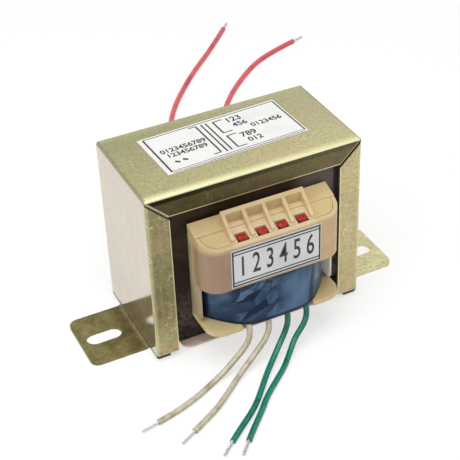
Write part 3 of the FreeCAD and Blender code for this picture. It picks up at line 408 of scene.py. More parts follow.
def passivated_zinc(look):
    """Zinc plate with a yellow chromate film: olive gold on top, pale on the walls, with painted shade and a
    painted dark reflection on the top lips and painted highlights on folds and edges.
    """
    tree = Finish("passivated_zinc")
    rightwards = tree.band(tree.x, -WALL, WALL)
    rearwards = tree.band(tree.y, -0.5 * LIP, 0.5 * LIP)

    # Where on the frame a point lies
    on_top = tree.band(tree.z, *TOP_FACE)
    on_lip = tree.band(tree.reach_y, *LIP_FACE)
    not_top = tree.invert(on_top)
    on_foot = tree.times(tree.below(tree.z, *FOOT_HEIGHT), tree.band(tree.reach_x, *FOOT_SIDE))
    above_mitre = tree.scaled(tree.less(WALL, tree.reach_x), MITRE_SLOPE, tree.less(tree.z, FRAME_HIGH.z))
    on_top_lip = tree.times(on_lip, tree.band(above_mitre, *MITRE_EDGE))
    side_lip = tree.times(on_lip, tree.invert(on_top_lip))

    # Colour of the film in each place, with painted shade and a painted dark reflection on the top lips
    top = tree.mix(rightwards, look.top, look.top_right)
    top = tree.tint(1.0, top, tree.ramp(tree.band(tree.y, -LIP, LIP), TOP_DEPTH))
    wall = tree.mix(tree.band(tree.z, *WALL_FADE), look.wall_low, look.wall)
    lip = tree.mix(tree.band(tree.x, *LIP_FADE), look.lip_left, look.lip_right)
    lip = tree.mix(tree.times(tree.below(tree.z, *LIP_PALE), 0.55), lip, look.lip_right)
    # Painted shade and a painted dark reflection: the top lips are nearly black just under the fold and
    # lighter lower down
    top_lip_shade = tree.mix(tree.band(tree.z, *TOP_LIP_FADE), look.top_lip_low_shade, look.top_lip_shade)
    top_lip_shade = tree.mix(tree.times(rightwards, 0.35), top_lip_shade, look.lip_left)
    foot = tree.mix(rightwards, look.foot_left, look.foot_right)
    root = tree.times(tree.below(tree.reach_x, *FOOT_ROOT), 0.45, tree.invert(rightwards))
    foot = tree.mix(root, foot, FOOT_SHADE)
    # Painted highlight along the bend where each foot meets its wall
    foot_bend_highlight = tree.times(tree.below(tree.reach_x, *FOOT_BEND), tree.scaled(rightwards, 0.25, 0.10))
    foot = tree.mix(foot_bend_highlight, foot, look.lip_right)

    film = tree.mix(on_top, wall, top)
    film = tree.mix(tree.times(on_lip, not_top), film, lip)
    film = tree.mix(on_top_lip, film, top_lip_shade)
    film = tree.mix(on_foot, film, foot)
    toes = tree.times(tree.below(tree.z, *TOE_HEIGHT), tree.band(tree.reach_y, *TOE_REACH))
    film = tree.mix(tree.times(toes, 0.92), film, TOE_SHADE)

    # Rainbow tints of the chromate, strongest on feet and lips, then grain and patches
    hues = tree.ramp(tree.noise(120.0, 2.0, 0.5, distortion=1.6), RAINBOW)
    vivid = tree.scaled(on_top, 0.30, tree.scaled(tree.most(on_foot, on_lip), 0.60, 0.08))
    film = tree.tint(tree.times(vivid, tree.scaled(rightwards, -0.35, 1.0)), film, hues)
    grain = tree.noise(1500.0, 2.0, 0.7)
    rougher = tree.most(on_top, on_lip, on_foot)
    film = tree.tint(tree.scaled(rougher, 0.65, 0.25), film, tree.ramp(grain, FINE_GRAIN))
    mottle = tree.noise(520.0, 4.0, 0.75)
    wide = tree.noise(170.0, 3.0, 0.6, distortion=0.8)
    patches = tree.scaled(mottle, 0.5, tree.times(wide, 0.5))
    lively = tree.scaled(on_foot, 0.75, tree.scaled(on_lip, 0.45, 0.15))
    lively = tree.times(lively, tree.scaled(rightwards, -0.50, 1.0))
    film = tree.tint(lively, film, tree.ramp(patches, PATCHES))

    # Brushed streaks and fine curled scratches
    streaks = tree.noise(1100.0, 3.0, 0.6, stretch=(1.0, 1.0, 0.05))
    film = tree.mix(tree.times(tree.band(streaks, 0.50, 0.70), side_lip, 0.08), film, look.rubbed_and_highlight)
    swirl = tree.noise(260.0, 1.0, 0.4, distortion=2.2)
    curl = tree.math("ABSOLUTE", tree.less(swirl, 0.5))
    scratch = tree.times(tree.below(curl, 0.004, 0.014), tree.band(tree.noise(150.0, 2.0), 0.50, 0.60),
                         tree.scaled(side_lip, 0.70, 0.06))
    film = tree.mix(scratch, film, look.rubbed_and_highlight)

    # Painted highlights on the folds and on the front margin of the top, bright cut edges with painted
    # highlight, and painted shadow in the slits beside the mitres
    frontal = tree.scaled(rearwards, -0.85, 1.0)
    margin_highlight = tree.times(tree.band(tree.reach_y, *FRONT_MARGIN), on_top, tree.scaled(rightwards, -0.35, 0.80),
                        frontal)
    roll_highlight = tree.times(tree.band(tree.z, *ROLL_HEIGHT), tree.band(tree.reach_y, *ROLL_REACH), frontal, 0.75)
    upright = tree.times(tree.band(tree.reach_x, *UPRIGHT_SIDE), tree.band(tree.reach_y, *UPRIGHT_REACH),
                         not_top, 0.22)
    rims = tree.most(tree.times(on_top_lip, tree.below(above_mitre, *MITRE_RIM)),
                     tree.times(on_top_lip, tree.below(tree.z, *RIM_HEIGHT)),
                     tree.times(side_lip, tree.below(tree.reach_x, *RIM_SIDE)))
    film = tree.mix(tree.most(roll_highlight, upright, tree.times(rims, 0.55), margin_highlight), film, look.rubbed_and_highlight)
    # Painted shadow: a dark line on each side lip below the mitre, where the top lip folds over it
    painted_mitre_shadow = tree.times(tree.band(above_mitre, *MITRE_SHADOW), side_lip, 0.93)
    film = tree.mix(painted_mitre_shadow, film, MITRE_SHADOW_COLOUR)
    # Painted shade: a dark line along the folds between top and walls
    side_fold_shade = tree.times(tree.band(tree.reach_x, *SIDE_FOLD), tree.band(tree.z, *SIDE_FOLD_HEIGHT),
                           tree.invert(on_lip), 0.60)
    film = tree.mix(side_fold_shade, film, look.fold_shade)

    rough = tree.mix_value(on_top, tree.scaled(mottle, 0.10, 0.09), 0.50)
    rough = tree.mix_value(tree.most(on_lip, on_foot), rough, tree.scaled(mottle, 0.22, 0.24))
    clouds = tree.noise(60.0, 4.0, 0.6, distortion=0.6)
    normal = tree.bump(tree.times(scratch, -1.2), 0.25, 0.02)
    normal = tree.bump(tree.times(grain, rougher), 0.45, 0.015, under=normal)
    normal = tree.bump(clouds, 0.10, 0.3, under=normal)
    return tree.surface(film, rough, normal, Metallic=look.metal)


def varnished_steel(look):
    """Core steel under brown impregnating varnish, with the sheets' edges as fine lines and painted shadow
    beside the lips.
    """
    tree = Finish("varnished_steel")
    pool = tree.noise(130.0, 5.0, 0.62, distortion=0.4)
    fine = tree.noise(800.0, 3.0, 0.6)
    tone = tree.mix(tree.band(pool, 0.38, 0.66), look.varnish, look.steel)
    tone = tree.mix(tree.times(tree.band(tree.z, *YOKE_HEIGHT), 0.45), tone, YOKE_VARNISH)
    clean = tree.times(tree.band(tree.x, *CLEAN_SIDE), tree.band(tree.z, *CLEAN_HEIGHT), 0.75)
    tone = tree.mix(clean, tone, CLEAN_STEEL)
    # Painted shadow: the core turns nearly black beside the lips' inner edges, most on the right
    right_lip_shadow = tree.times(tree.band(tree.x, *RIGHT_LIP_SHADOW_SIDE), 0.9)
    lip_shadow = tree.times(tree.band(tree.reach_x, *LIP_SHADOW_SIDE), 0.5)
    tone = tree.mix(tree.most(right_lip_shadow, lip_shadow), tone, CORE_SHADOW)
    grey = tree.times(tree.below(tree.z, *BARE_HEIGHT), 0.55, tree.band(fine, 0.35, 0.65))
    tone = tree.mix(grey, tone, look.bare)
    lines = tree.math("SINE", tree.times(tree.y, 2 * math.pi / look.sheet_pitch))
    stack = tree.band(lines, -0.2, 0.95)
    tone = tree.mix(tree.times(stack, 0.30), tone, SHEET_LINE)
    rust = tree.band(tree.noise(360.0, 5.0, 0.7), 0.63, 0.72)
    tone = tree.mix(tree.times(rust, 0.4), tone, RUST)
    normal = tree.bump(fine, 0.25, 0.05, under=tree.bump(stack, 0.6, 0.08))
    return tree.surface(tone, tree.spread(pool, 0.30, 0.62), normal, Specular_IOR_Level=0.14)


def pressboard(look):
    tree = Finish("stained_pressboard")
    fibre = tree.noise(700.0, 5.0, 0.7, stretch=(0.35, 1.0, 1.0))
    stain = tree.noise(150.0, 4.0, 0.6)
    tone = tree.mix(tree.band(stain, 0.35, 0.65), look.pressboard, BOARD_STAIN)
    tone = tree.mix(tree.times(tree.band(fibre, 0.5, 0.7), 0.35), tone, BOARD_FIBRE)
    return tree.surface(tone, 0.8, tree.bump(fibre, 0.5, 0.06))


def moulded_nylon(look):
    """Cream moulding: beige and scuffed on the outer faces, with faint flow marks and dirt in places, and
    painted shade on the left and painted light on the right.
    """
    tree = Finish("moulded_nylon")
    flow = tree.noise(110.0, 3.0, 0.5, stretch=(0.5, 1.0, 1.6), distortion=0.8)
    tone = tree.mix(tree.band(flow, 0.30, 0.70), look.cream, look.cream_warm)
    skirt = tree.times(tree.band(tree.z, *SKIRT_LOW), tree.below(tree.z, *SKIRT_HIGH),
                       tree.band(tree.reach_y, *SKIRT_REACH))
    drift = tree.noise(420.0, 4.0, 0.6, stretch=(1.0, 1.0, 0.25))
    worn_through = tree.scaled(tree.band(drift, 0.40, 0.62), 0.30, 0.62)
    tone = tree.mix(tree.times(skirt, worn_through), tone, look.beige)
    # Painted shade and light across the moulding: darker on the left and lighter on the right, most on the
    # shroud's outer face
    sides = tree.ramp(tree.band(tree.x, *SKIRT_SIDES), SKIRT_SHADING)
    tone = tree.tint(tree.scaled(skirt, 0.80, 0.20), tone, sides)
    pockets = tree.times(tree.below(tree.reach_x, *POCKET_SIDE), tree.band(tree.reach_y, *POCKET_REACH),
                         tree.band(tree.z, *POCKET_LOW), tree.below(tree.z, *POCKET_HIGH))
    # Orange tint in the pockets around the sleeves
    tone = tree.mix(tree.times(pockets, tree.band(flow, 0.38, 0.75)), tone, POCKET_ORANGE)
    tone = tree.tint(pockets, tone, POCKET_TINT)
    tone = tree.tint(tree.below(tree.z, *FLANGE_HEIGHT), tone, FLANGE_TINT)
    dirt = tree.band(tree.noise(520.0, 5.0, 0.7), 0.62, 0.72)
    tone = tree.mix(tree.times(dirt, 0.35), tone, NYLON_DIRT)
    normal = tree.bump(flow, 0.15, 0.15, under=tree.bump(tree.noise(1600.0, 2.0, 0.5), 0.12, 0.02))
    return tree.surface(tone, tree.spread(flow, 0.34, 0.50), normal, IOR=1.53, Subsurface_Weight=0.25,
                        Subsurface_Radius=(1.0, 0.6, 0.3), Subsurface_Scale=1.2 * MM)


def tape_film(look):
    """Blue polyester tape: glossy, hazy where it has lifted, with painted highlights from its creases and
    painted shade in its folds, under the shroud and on its left side, and darker at its lower edge.
    """
    tree = Finish("polyester_tape")
    cloud = tree.noise(240.0, 4.0, 0.6, distortion=0.9)
    fine = tree.noise(900.0, 3.0, 0.6)
    haze = tree.add("ShaderNodeAttribute", attribute_name=HAZE_AND_SHEEN).outputs["Fac"]
    haze = tree.scaled(tree.less(cloud, 0.5), 0.25, haze)

    # Flat facets where the film is slack, each with its own painted light, and painted shade in the folds
    # between them
    slack = tree.below(tree.math("ABSOLUTE", tree.less(tree.x, SLACK)), *SLACK_SIDE)
    warp = {"Vector": tree.place, "Scale": 200.0, "Detail": 2.0}
    bent = tree.add("ShaderNodeTexNoise", warp).outputs["Color"]
    bent = tree.add("ShaderNodeVectorMath", {0: bent, 3: 2.6 * MM}, operation="SCALE").outputs[0]
    bent = tree.add("ShaderNodeVectorMath", {0: tree.place, 1: bent}, operation="ADD").outputs[0]
    bent = tree.add("ShaderNodeMapping", {0: bent, 2: (0.0, math.radians(-28.0), 0.0), 3: (1.8, 2.0, 0.62)},
                    vector_type="TEXTURE").outputs[0]
    cells = {"Vector": bent, "Scale": 430.0}
    facet, _, _ = tree.axes(tree.add("ShaderNodeTexVoronoi", cells).outputs["Color"])
    folds = tree.add("ShaderNodeTexVoronoi", cells, feature="DISTANCE_TO_EDGE").outputs["Distance"]
    haze = tree.scaled(tree.times(tree.less(facet, 0.45), slack), 0.85, haze)
    fold_shade = tree.times(tree.below(folds, 0.02, 0.08), slack, tree.band(cloud, 0.44, 0.56))
    haze = tree.times(haze, tree.scaled(fold_shade, -0.65, 1.0))

    tone = tree.ramp(haze, [(0.0, look.tape), (0.45, look.tape_mid), (0.95, look.tape_haze_and_sheen)])
    tone = tree.mix(tree.times(tree.below(tree.z, *WRAP_EDGE), 0.9), tone, look.tape)
    tone = tree.mix(tree.times(tree.band(fine, 0.66, 0.74), 0.20), tone, look.tape_haze_and_sheen)
    return tree.surface(tone, tree.spread(cloud, 0.12, 0.30), tree.bump(fine, 0.10, 0.02),
                        Specular_IOR_Level=0.2)


def plain_paper(name, colour, shade, scale, sheer=0.0):
    tree = Finish(name)
    tone = tree.mix(tree.band(tree.noise(120.0, 3.0, 0.6), 0.40, 0.75), colour, shade)
    normal = tree.bump(tree.noise(scale, 4.0, 0.7), 0.15, 0.02)
    return tree.surface(tone, 0.62, normal, Subsurface_Weight=sheer, Subsurface_Radius=(1.0, 0.95, 0.8),
                        Subsurface_Scale=2.0 * MM)


def printing_ink():
    tree = Finish("printing_ink")
    thin = tree.band(tree.noise(1400.0, 3.0, 0.7), 0.55, 0.80)
    tone = tree.mix(thin, INK_BLACK, INK_THIN)
    return tree.surface(tone, 0.5, tree.bump(thin, 0.1, 0.01))


def heat_sleeve(look):
    tree = Finish("joint_sleeve")
    wear = tree.noise(700.0, 3.0, 0.6)
    tone = tree.mix(tree.band(wear, 0.45, 0.75), look.red, SLEEVE_WEAR)
    # Painted shade: the sleeves darken low down, where they sit in their holes
    tone = tree.mix(tree.times(tree.below(tree.z, *SLEEVE_SHADE), 0.85), tone, SLEEVE_SHADOW)
    return tree.surface(tone, 0.34, tree.bump(wear, 0.4, 0.08), Specular_IOR_Level=0.3)


def enamelled_wire(look):
    """Layers of enamelled wire, seen as fine rings."""
    tree = Finish("enamelled_wire")
    rings = tree.math("SINE", tree.times(tree.z, 2 * math.pi / look.wire_pitch))
    tone = tree.mix(tree.band(rings, -0.8, 0.6), WIRE_GAP, WIRE_TOP)
    return tree.surface(tone, 0.3, tree.bump(rings, 0.8, 0.08), Metallic=0.8)


def winding_film():
    tree = Finish("winding_film")
    patch = tree.noise(200.0)
    tone = tree.mix(tree.band(patch, 0.4, 0.7), FILM_LIGHT, FILM_DEEP)
    return tree.surface(tone, 0.25, tree.bump(patch, 0.2, 0.1))


def studio_floor(look):
    """Pale floor that reads white to the camera and keeps a soft shadow."""
    tree = Finish("studio_floor")
    tone = tree.mix(tree.times(tree.noise(3.0, 2.0), 0.04), look.floor, FLOOR_PATCH)
    matt = tree.add("ShaderNodeBsdfDiffuse", {"Color": tone}).outputs[0]
    shaded = tree.add("ShaderNodeBsdfDiffuse", {"Color": FLOOR_SEEN}).outputs[0]
    white = tree.add("ShaderNodeEmission", {"Color": NEUTRAL, "Strength": look.glow}).outputs[0]
    seen = tree.add("ShaderNodeAddShader", {0: shaded, 1: white}).outputs[0]
    both = tree.add("ShaderNodeMixShader", {0: tree.direct(), 1: matt, 2: seen}).outputs[0]
    tree.add("ShaderNodeOutputMaterial", {"Surface": both})
    return tree.material


# Helpers for pieces
def finish(material, *nodes):
    for node in nodes:
        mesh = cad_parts[node].data
        mesh.materials.clear()
        mesh.materials.append(material)


def add_object(name, data):
    thing = bpy.data.objects.new(name, data)
    bpy.context.scene.collection.objects.link(thing)
    return thing


def piece_from(name, data, material, replaces=()):
    piece = add_object(name, data)
    data.materials.clear()
    data.materials.append(material)
    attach(piece, "root")
    if replaces:
        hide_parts(*replaces)
    return piece


def tube(name, kind, points, radius, roundness):
    """Curve data of one open spline with a round section."""
    data = bpy.data.curves.new(name, "CURVE")
    data.dimensions = "3D"
    spline = data.splines.new(kind)
    spline.points.add(len(points) - 1)
    for point, place in zip(spline.points, points):
        point.co = (*place, 1.0)
    spline.order_u = 3
    spline.use_endpoint_u = True
    spline.resolution_u = 10
    data.bevel_depth = radius
    data.bevel_resolution = roundness
    data.use_fill_caps = True
    return data


def add_shape(bm, data, matrix=Matrix()):
    """Adds the shape of a curve or a text to a bmesh."""
    maker = add_object(data.name, data)
    bpy.context.view_layer.update()
    mesh = bpy.data.meshes.new_from_object(maker.evaluated_get(bpy.context.evaluated_depsgraph_get()))
    mesh.transform(matrix)
    bm.from_mesh(mesh)
    bpy.data.objects.remove(maker)
    bpy.data.curves.remove(data)
    bpy.data.meshes.remove(mesh)


def join_rings(bm, low, high):
    """Adds the faces between two rings of vertices."""
    for index in range(len(low)):
        following = (index + 1) % len(low)
        bm.faces.new((low[index], low[following], high[following], high[index]))


def mesh_from(name, bm):
    mesh = bpy.data.meshes.new(name)
    bm.to_mesh(mesh)
    bm.free()
    return mesh


def shade_smooth(mesh):
    mesh.polygons.foreach_set("use_smooth", [True] * len(mesh.polygons))


class Ink:
    """Collects thin printed shapes in one mesh on a label's plane."""

    def __init__(self):
        self.bm = bmesh.new()

    def bar(self, start, end, width):
        start, end = Vector(start), Vector(end)
        along = (end - start).normalized()
        across = Vector((-along.y, along.x)) * width / 2
        ends = (start - across, end - across, end + across, start + across)
        low, high = ([self.bm.verts.new((*end, level)) for end in ends] for level in (0.0, PRINT))
        self.bm.faces.new(reversed(low))
        self.bm.faces.new(high)
        join_rings(self.bm, low, high)

    def outline(self, across, up, width):
        """Draws a rectangle around the middle, its upright sides between the level ones."""
        half = width / 2
        for side in (-1, 1):
            self.bar((-across - half, side * up), (across + half, side * up), width)
            self.bar((side * across, half - up), (side * across, up - half), width)

    def number(self, text, centre, height, stretch=1.0, weight=0.05 * MM):
        data = bpy.data.curves.new("number", "FONT")
        data.body = text
        data.size = height * 1.42
        data.align_x = "CENTER"
        data.align_y = "CENTER"
        data.extrude = PRINT / 2
        data.offset = weight
        data.resolution_u = 4
        place = Matrix.Translation((*centre, PRINT / 2))
        add_shape(self.bm, data, place @ Matrix.Diagonal((stretch, 1.0, 1.0, 1.0)))

    def mesh(self, name, matrix):
        data = mesh_from(name, self.bm)
        data.transform(matrix)
        return data


# Settings a user would change
def swatch(name, description, default):
    return bpy.props.FloatVectorProperty(name=name, description=description, subtype="COLOR", size=3,
                                         min=0.0, max=1.0, default=default)


def length(name, description, low, high, default):
    return bpy.props.FloatProperty(name=name, description=description, subtype="DISTANCE", unit="LENGTH",
                                   min=low * MM, max=high * MM, default=default * MM, precision=5)


def power(name, description, default):
    return bpy.props.FloatProperty(name=name, description=description, subtype="POWER", unit="POWER",
                                   min=0.0, max=50.0, default=default)


class FrameLook(bpy.types.PropertyGroup):
    top: swatch("Top", "Film on the left of the top plate", (0.375, 0.360, 0.205))
    top_right: swatch("Top right", "Film on the right of the top plate", (0.455, 0.420, 0.255))
    wall: swatch("Wall", "Film high on the walls", (0.62, 0.55, 0.45))
    wall_low: swatch("Wall, low", "Film low on the walls", (0.58, 0.51, 0.42))
    lip_left: swatch("Left lips", "Film on the left lips", (0.27, 0.235, 0.125))
    lip_right: swatch("Right lips", "Film on the right lips", (0.48, 0.42, 0.235))
    # The top lips' colours are painted shade and a painted dark reflection over the film
    top_lip_shade: swatch("Top lips", "Film high on the top lips", (0.012, 0.010, 0.004))
    top_lip_low_shade: swatch("Top lips, low", "Film low on the top lips", (0.075, 0.060, 0.025))
    foot_left: swatch("Left foot", "Film on the left foot", (0.19, 0.175, 0.07))
    foot_right: swatch("Right foot", "Film on the right foot", (0.60, 0.57, 0.34))
    # Painted shade along the folds between top and walls
    fold_shade: swatch("Fold", "Film in the folds between top and walls", (0.22, 0.21, 0.11))
    # Rubbed film, also the colour of painted highlights on folds and edges
    rubbed_and_highlight: swatch("Rubbed", "Film where it is rubbed or bent", (0.84, 0.82, 0.50))
    metal: bpy.props.FloatProperty(name="Metal", description="Share of metallic reflection",
                                   subtype="FACTOR", min=0.0, max=1.0, default=0.9)


class CoreLook(bpy.types.PropertyGroup):
    varnish: swatch("Varnish", "Brown impregnating varnish", (0.018, 0.012, 0.008))
    steel: swatch("Steel", "Thinner varnish over steel", (0.055, 0.036, 0.024))
    bare: swatch("Bare steel", "Greyed steel low on the legs", (0.14, 0.11, 0.095))
    pressboard: swatch("Pressboard", "Strip under the core", (0.78, 0.63, 0.54))
    sheet_pitch: length("Sheet pitch", "Thickness of one lamination", 0.2, 1.0, 0.5)
    wire_pitch: length("Wire pitch", "Distance between turns of wire", 0.1, 2.0, 0.35)


class PlasticLook(bpy.types.PropertyGroup):
    cream: swatch("Cream", "Bobbin and shrouds", (0.60, 0.475, 0.255))
    cream_warm: swatch("Warm cream", "Darker flow marks", (0.53, 0.40, 0.19))
    beige: swatch("Beige", "Outer face of a shroud", (0.46, 0.33, 0.215))
    red: swatch("Red", "Joint sleeves", (0.33, 0.014, 0.010))
    edge: length("Edge", "Rounding of the moulded edges", 0.0, 0.5, 0.28)
    # The tape's colours run from the dark film through its haze to painted highlights; the darkest also
    # serves as painted shade
    tape: swatch("Tape", "Blue tape where it is pressed down", (0.002, 0.010, 0.030))
    tape_mid: swatch("Tape, middle", "Blue tape between pressed and lifted", (0.018, 0.047, 0.100))
    tape_haze_and_sheen: swatch("Tape haze", "Blue tape where it has lifted", (0.110, 0.190, 0.310))


class LeadLook(bpy.types.PropertyGroup):
    white: swatch("White", "White leads", (0.61, 0.56, 0.43))
    green: swatch("Green", "Green leads", (0.003, 0.21, 0.145))
    red: swatch("Red", "Red leads", (0.74, 0.095, 0.11))
    lead: length("Secondary lead", "Outer diameter of a secondary lead", 0.5, 4.0, 1.3)
    mains: length("Primary lead", "Outer diameter of a primary lead", 0.5, 4.0, 1.5)


class LabelLook(bpy.types.PropertyGroup):
    paper: swatch("Paper", "Top label", (0.86, 0.86, 0.84))
    grey_paper: swatch("Grey paper", "Front label", (0.70, 0.70, 0.70))
    line: length("Line", "Width of a printed line", 0.1, 1.0, 0.28)
    turn: bpy.props.FloatProperty(name="Turn", description="Angle at which the top label sits askew",
                                  subtype="ANGLE", unit="ROTATION", default=math.radians(2.5))


class StageLook(bpy.types.PropertyGroup):
    floor: swatch("Floor", "Pale studio floor", (0.84, 0.84, 0.84))
    glow: bpy.props.FloatProperty(name="Floor glow", description="How white the floor reads to the camera",
                                  min=0.0, max=1.0, default=0.62)
    key: power("Key light", "Power of the overhead light", 3.0)
    side: power("Side light", "Power of the light from the left", 1.2)
    fill: power("Fill light", "Power of the light from the right front", 0.9)
    sky: bpy.props.FloatProperty(name="Room light", description="Strength of the even light around",
                                 min=0.0, max=2.0, default=0.30)


LOOKS = {
    "transformer_frame": FrameLook, "transformer_core": CoreLook, "transformer_plastic": PlasticLook,
    "transformer_leads": LeadLook, "transformer_labels": LabelLook, "transformer_stage": StageLook,
}


# Operators
class TRANSFORMER_OT_stage(bpy.types.Operator):
    """Add the camera, the floor and the studio lights"""
    bl_idname = "transformer.stage"
    bl_label = "Stage"

    def execute(self, context):
        look = context.scene.transformer_stage
        forward = (CAMERA_TARGET - CAMERA_PLACE).normalized()
        right = forward.cross(Vector((0, 0, 1))).normalized()
        up = right.cross(forward)
        level = right * math.cos(CAMERA_ROLL) + up * math.sin(CAMERA_ROLL)
        upright = up * math.cos(CAMERA_ROLL) - right * math.sin(CAMERA_ROLL)
        matrix = Matrix((level, upright, -forward)).transposed().to_4x4()
        matrix.translation = CAMERA_PLACE
        data = bpy.data.cameras.new("photo_camera")
        data.sensor_width = 36.0
        data.lens = LENS
        data.clip_start = 0.01
        data.clip_end = 20.0
        camera = add_object("photo_camera", data)
        camera.matrix_world = matrix
        context.scene.camera = camera

        bm = bmesh.new()
        bmesh.ops.create_circle(bm, cap_ends=True, radius=FLOOR_REACH, segments=64)
        mesh = mesh_from("studio_floor", bm)
        mesh.materials.append(studio_floor(look))
        add_object("studio_floor", mesh)

        for name, (place, size) in LAMPS.items():
            lamp = bpy.data.lights.new(f"{name}_light", "AREA")
            lamp.shape = "SQUARE"
            lamp.size = size
            lamp.energy = getattr(look, name)
            holder = add_object(lamp.name, lamp)
            holder.location = place
            holder.rotation_mode = "QUATERNION"
            holder.rotation_quaternion = (LAMP_TARGET - Vector(place)).to_track_quat("-Z", "Y")

        world = bpy.data.worlds.new("studio")
        context.scene.world = world
        tree = Tree(world)
        room, white = (tree.add("ShaderNodeBackground", {"Color": NEUTRAL, "Strength": strength}).outputs[0]
                       for strength in (look.sky, 1.0))
        both = tree.add("ShaderNodeMixShader", {0: tree.direct(), 1: room, 2: white}).outputs[0]
        tree.add("ShaderNodeOutputWorld", {"Surface": both})
        context.scene.view_settings.view_transform = "Standard"
        return {"FINISHED"}


class TRANSFORMER_OT_leads(bpy.types.Operator):
    """Lay the six leads with their tinned ends"""
    bl_idname = "transformer.leads"
    bl_label = "Leads"

    def execute(self, context):
        look = context.scene.transformer_leads
        skins = {
            "white_pvc": pvc("white_insulation", look.white, WHITE_SOIL_AND_SHADE, 0.5),
            "green_pvc": pvc("green_insulation", look.green, GREEN_SOIL_AND_SHADE, 0.2),
            "red_pvc": pvc("red_insulation", look.red, RED_SOIL_AND_SHADE, 0.2),
        }
        tinned = tinned_copper()
        for name, (slot, route) in LEAD_ROUTES.items():
            diameter = look.mains if slot == "red_pvc" else look.lead
            skin = tube(name, "NURBS", [mm(*place) for place in route], diameter / 2, 6)
            lead = piece_from(f"{name}_insulation", skin, skins[slot], (name,))
            strands = strand_bundle(f"{name}_strands", route[-2], route[-1], tinned, (f"{name}_tip",))
        finish(skins["white_pvc"], "front_lead_risers")
        finish(skins["red_pvc"], "rear_lead_risers")
        return {"FINISHED"}


def strand_bundle(name, before, end, material, replaces):
    """Seven tinned strands, six of them twisted around the one in the middle."""
    start = Vector(end) * MM
    along = (Vector(end) - Vector(before)).normalized()
    across = along.cross(Vector((0, 0, 1))).normalized()
    other = along.cross(across)
    bm = bmesh.new()
    for index in range(7):
        orbit = 0.0 if index == 6 else 2 * STRAND
        places = []
        for step in range(TWIST_STEPS + 1):
            share = step / TWIST_STEPS
            angle = 2 * math.pi * (index / 6 + TWIST * share)
            places.append(start + along * TIP_LENGTH * share + across * orbit * math.cos(angle)
                          + other * orbit * math.sin(angle))
        add_shape(bm, tube("strand", "POLY", places, STRAND, 2))
    mesh = mesh_from(name, bm)
    shade_smooth(mesh)
    return piece_from(name, mesh, material, replaces)


class TRANSFORMER_OT_frame(bpy.types.Operator):
    """Plate the folded chassis frame"""
    bl_idname = "transformer.frame"
    bl_label = "Chassis frame"

    def execute(self, context):
        finish(passivated_zinc(context.scene.transformer_frame), "chassis_frame")
        return {"FINISHED"}


class TRANSFORMER_OT_core(bpy.types.Operator):
    """Varnish the laminated core and its pressboard strip, and finish the windings"""
    bl_idname = "transformer.core"
    bl_label = "Core and windings"

    def execute(self, context):
        look = context.scene.transformer_core
        finish(varnished_steel(look), "e_lamination_front", "e_laminations_legs_down",
               "e_laminations_legs_up", "i_laminations_bottom", "i_laminations_top")
        finish(pressboard(look), "pressboard_strip")
        finish(enamelled_wire(look), "primary_winding", "secondary_winding_a", "secondary_winding_b")
        finish(winding_film(), "winding_barrier")
        return {"FINISHED"}


class TRANSFORMER_OT_mouldings(bpy.types.Operator):
    """Colour the bobbin, its shrouds, the joint sleeves and the leg liners"""
    bl_idname = "transformer.mouldings"
    bl_label = "Bobbin and shrouds"

    def execute(self, context):
        look = context.scene.transformer_plastic
        mouldings = ("bobbin", "front_shroud", "rear_shroud")
        finish(moulded_nylon(look), *mouldings)
        for node in mouldings:
            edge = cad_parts[node].modifiers.new("moulded_edges", "BEVEL")
            edge.width = look.edge
            edge.segments = 2
            edge.limit_method = "ANGLE"
            edge.angle_limit = math.radians(40)
        finish(heat_sleeve(look), "front_joint_sleeves", "rear_joint_sleeves")
        finish(plain_paper("liner_paper", *LEFT_LINER, 900.0), "left_leg_liner")
        # Painted light: the right liner gets a paler copy of the liner paper, because it sits in shade under
        # the shroud
        finish(plain_paper("pale_liner_paper", *RIGHT_LINER_PAINTED_LIGHT, 900.0, sheer=1.0), "right_leg_liner")
        return {"FINISHED"}


def smooth(value, low, high):
    share = min(1.0, max(0.0, (value - low) / (high - low)))
    return share * share * (3 - 2 * share)


def wrap_outline(half, side, front, count):
    """Evenly spaced points around the wrap's section: straight sides, bulging front and rear."""
    right = [Vector((half * across, -side - (front - side) * deep)) for across, deep in BULGE]
    left = [Vector((-point.x, point.y)) for point in reversed(right[1:])]
    bulge = left + right
    corners = bulge + [-point for point in bulge]
    lengths = [(corners[(i + 1) % len(corners)] - corners[i]).length for i in range(len(corners))]
    total = sum(lengths)
    points = []
    edge = 0
    passed = 0.0
    for index in range(count):
        travel = total * index / count
        while travel > passed + lengths[edge]:
            passed += lengths[edge]
            edge += 1
        following = corners[(edge + 1) % len(corners)]
        points.append(corners[edge].lerp(following, (travel - passed) / lengths[edge]))
    for _ in range(6):
        points = [(points[i - 1] + points[i] * 2 + points[(i + 1) % count]) / 4 for i in range(count)]
    return points


def creases(x, y, z):
    """Height of the crumpled film: flat facets that meet in sharp folds."""
    drift = noise.noise(Vector((x * 130, y * 130, z * 130))) * 1.6 * MM
    height = 0.0
    for degrees, period, depth in CREASES:
        angle = math.radians(degrees)
        turns = (x * math.cos(angle) + z * math.sin(angle) + drift) / period
        height += depth * abs(2 * (turns - math.floor(turns + 0.5)))
    return height


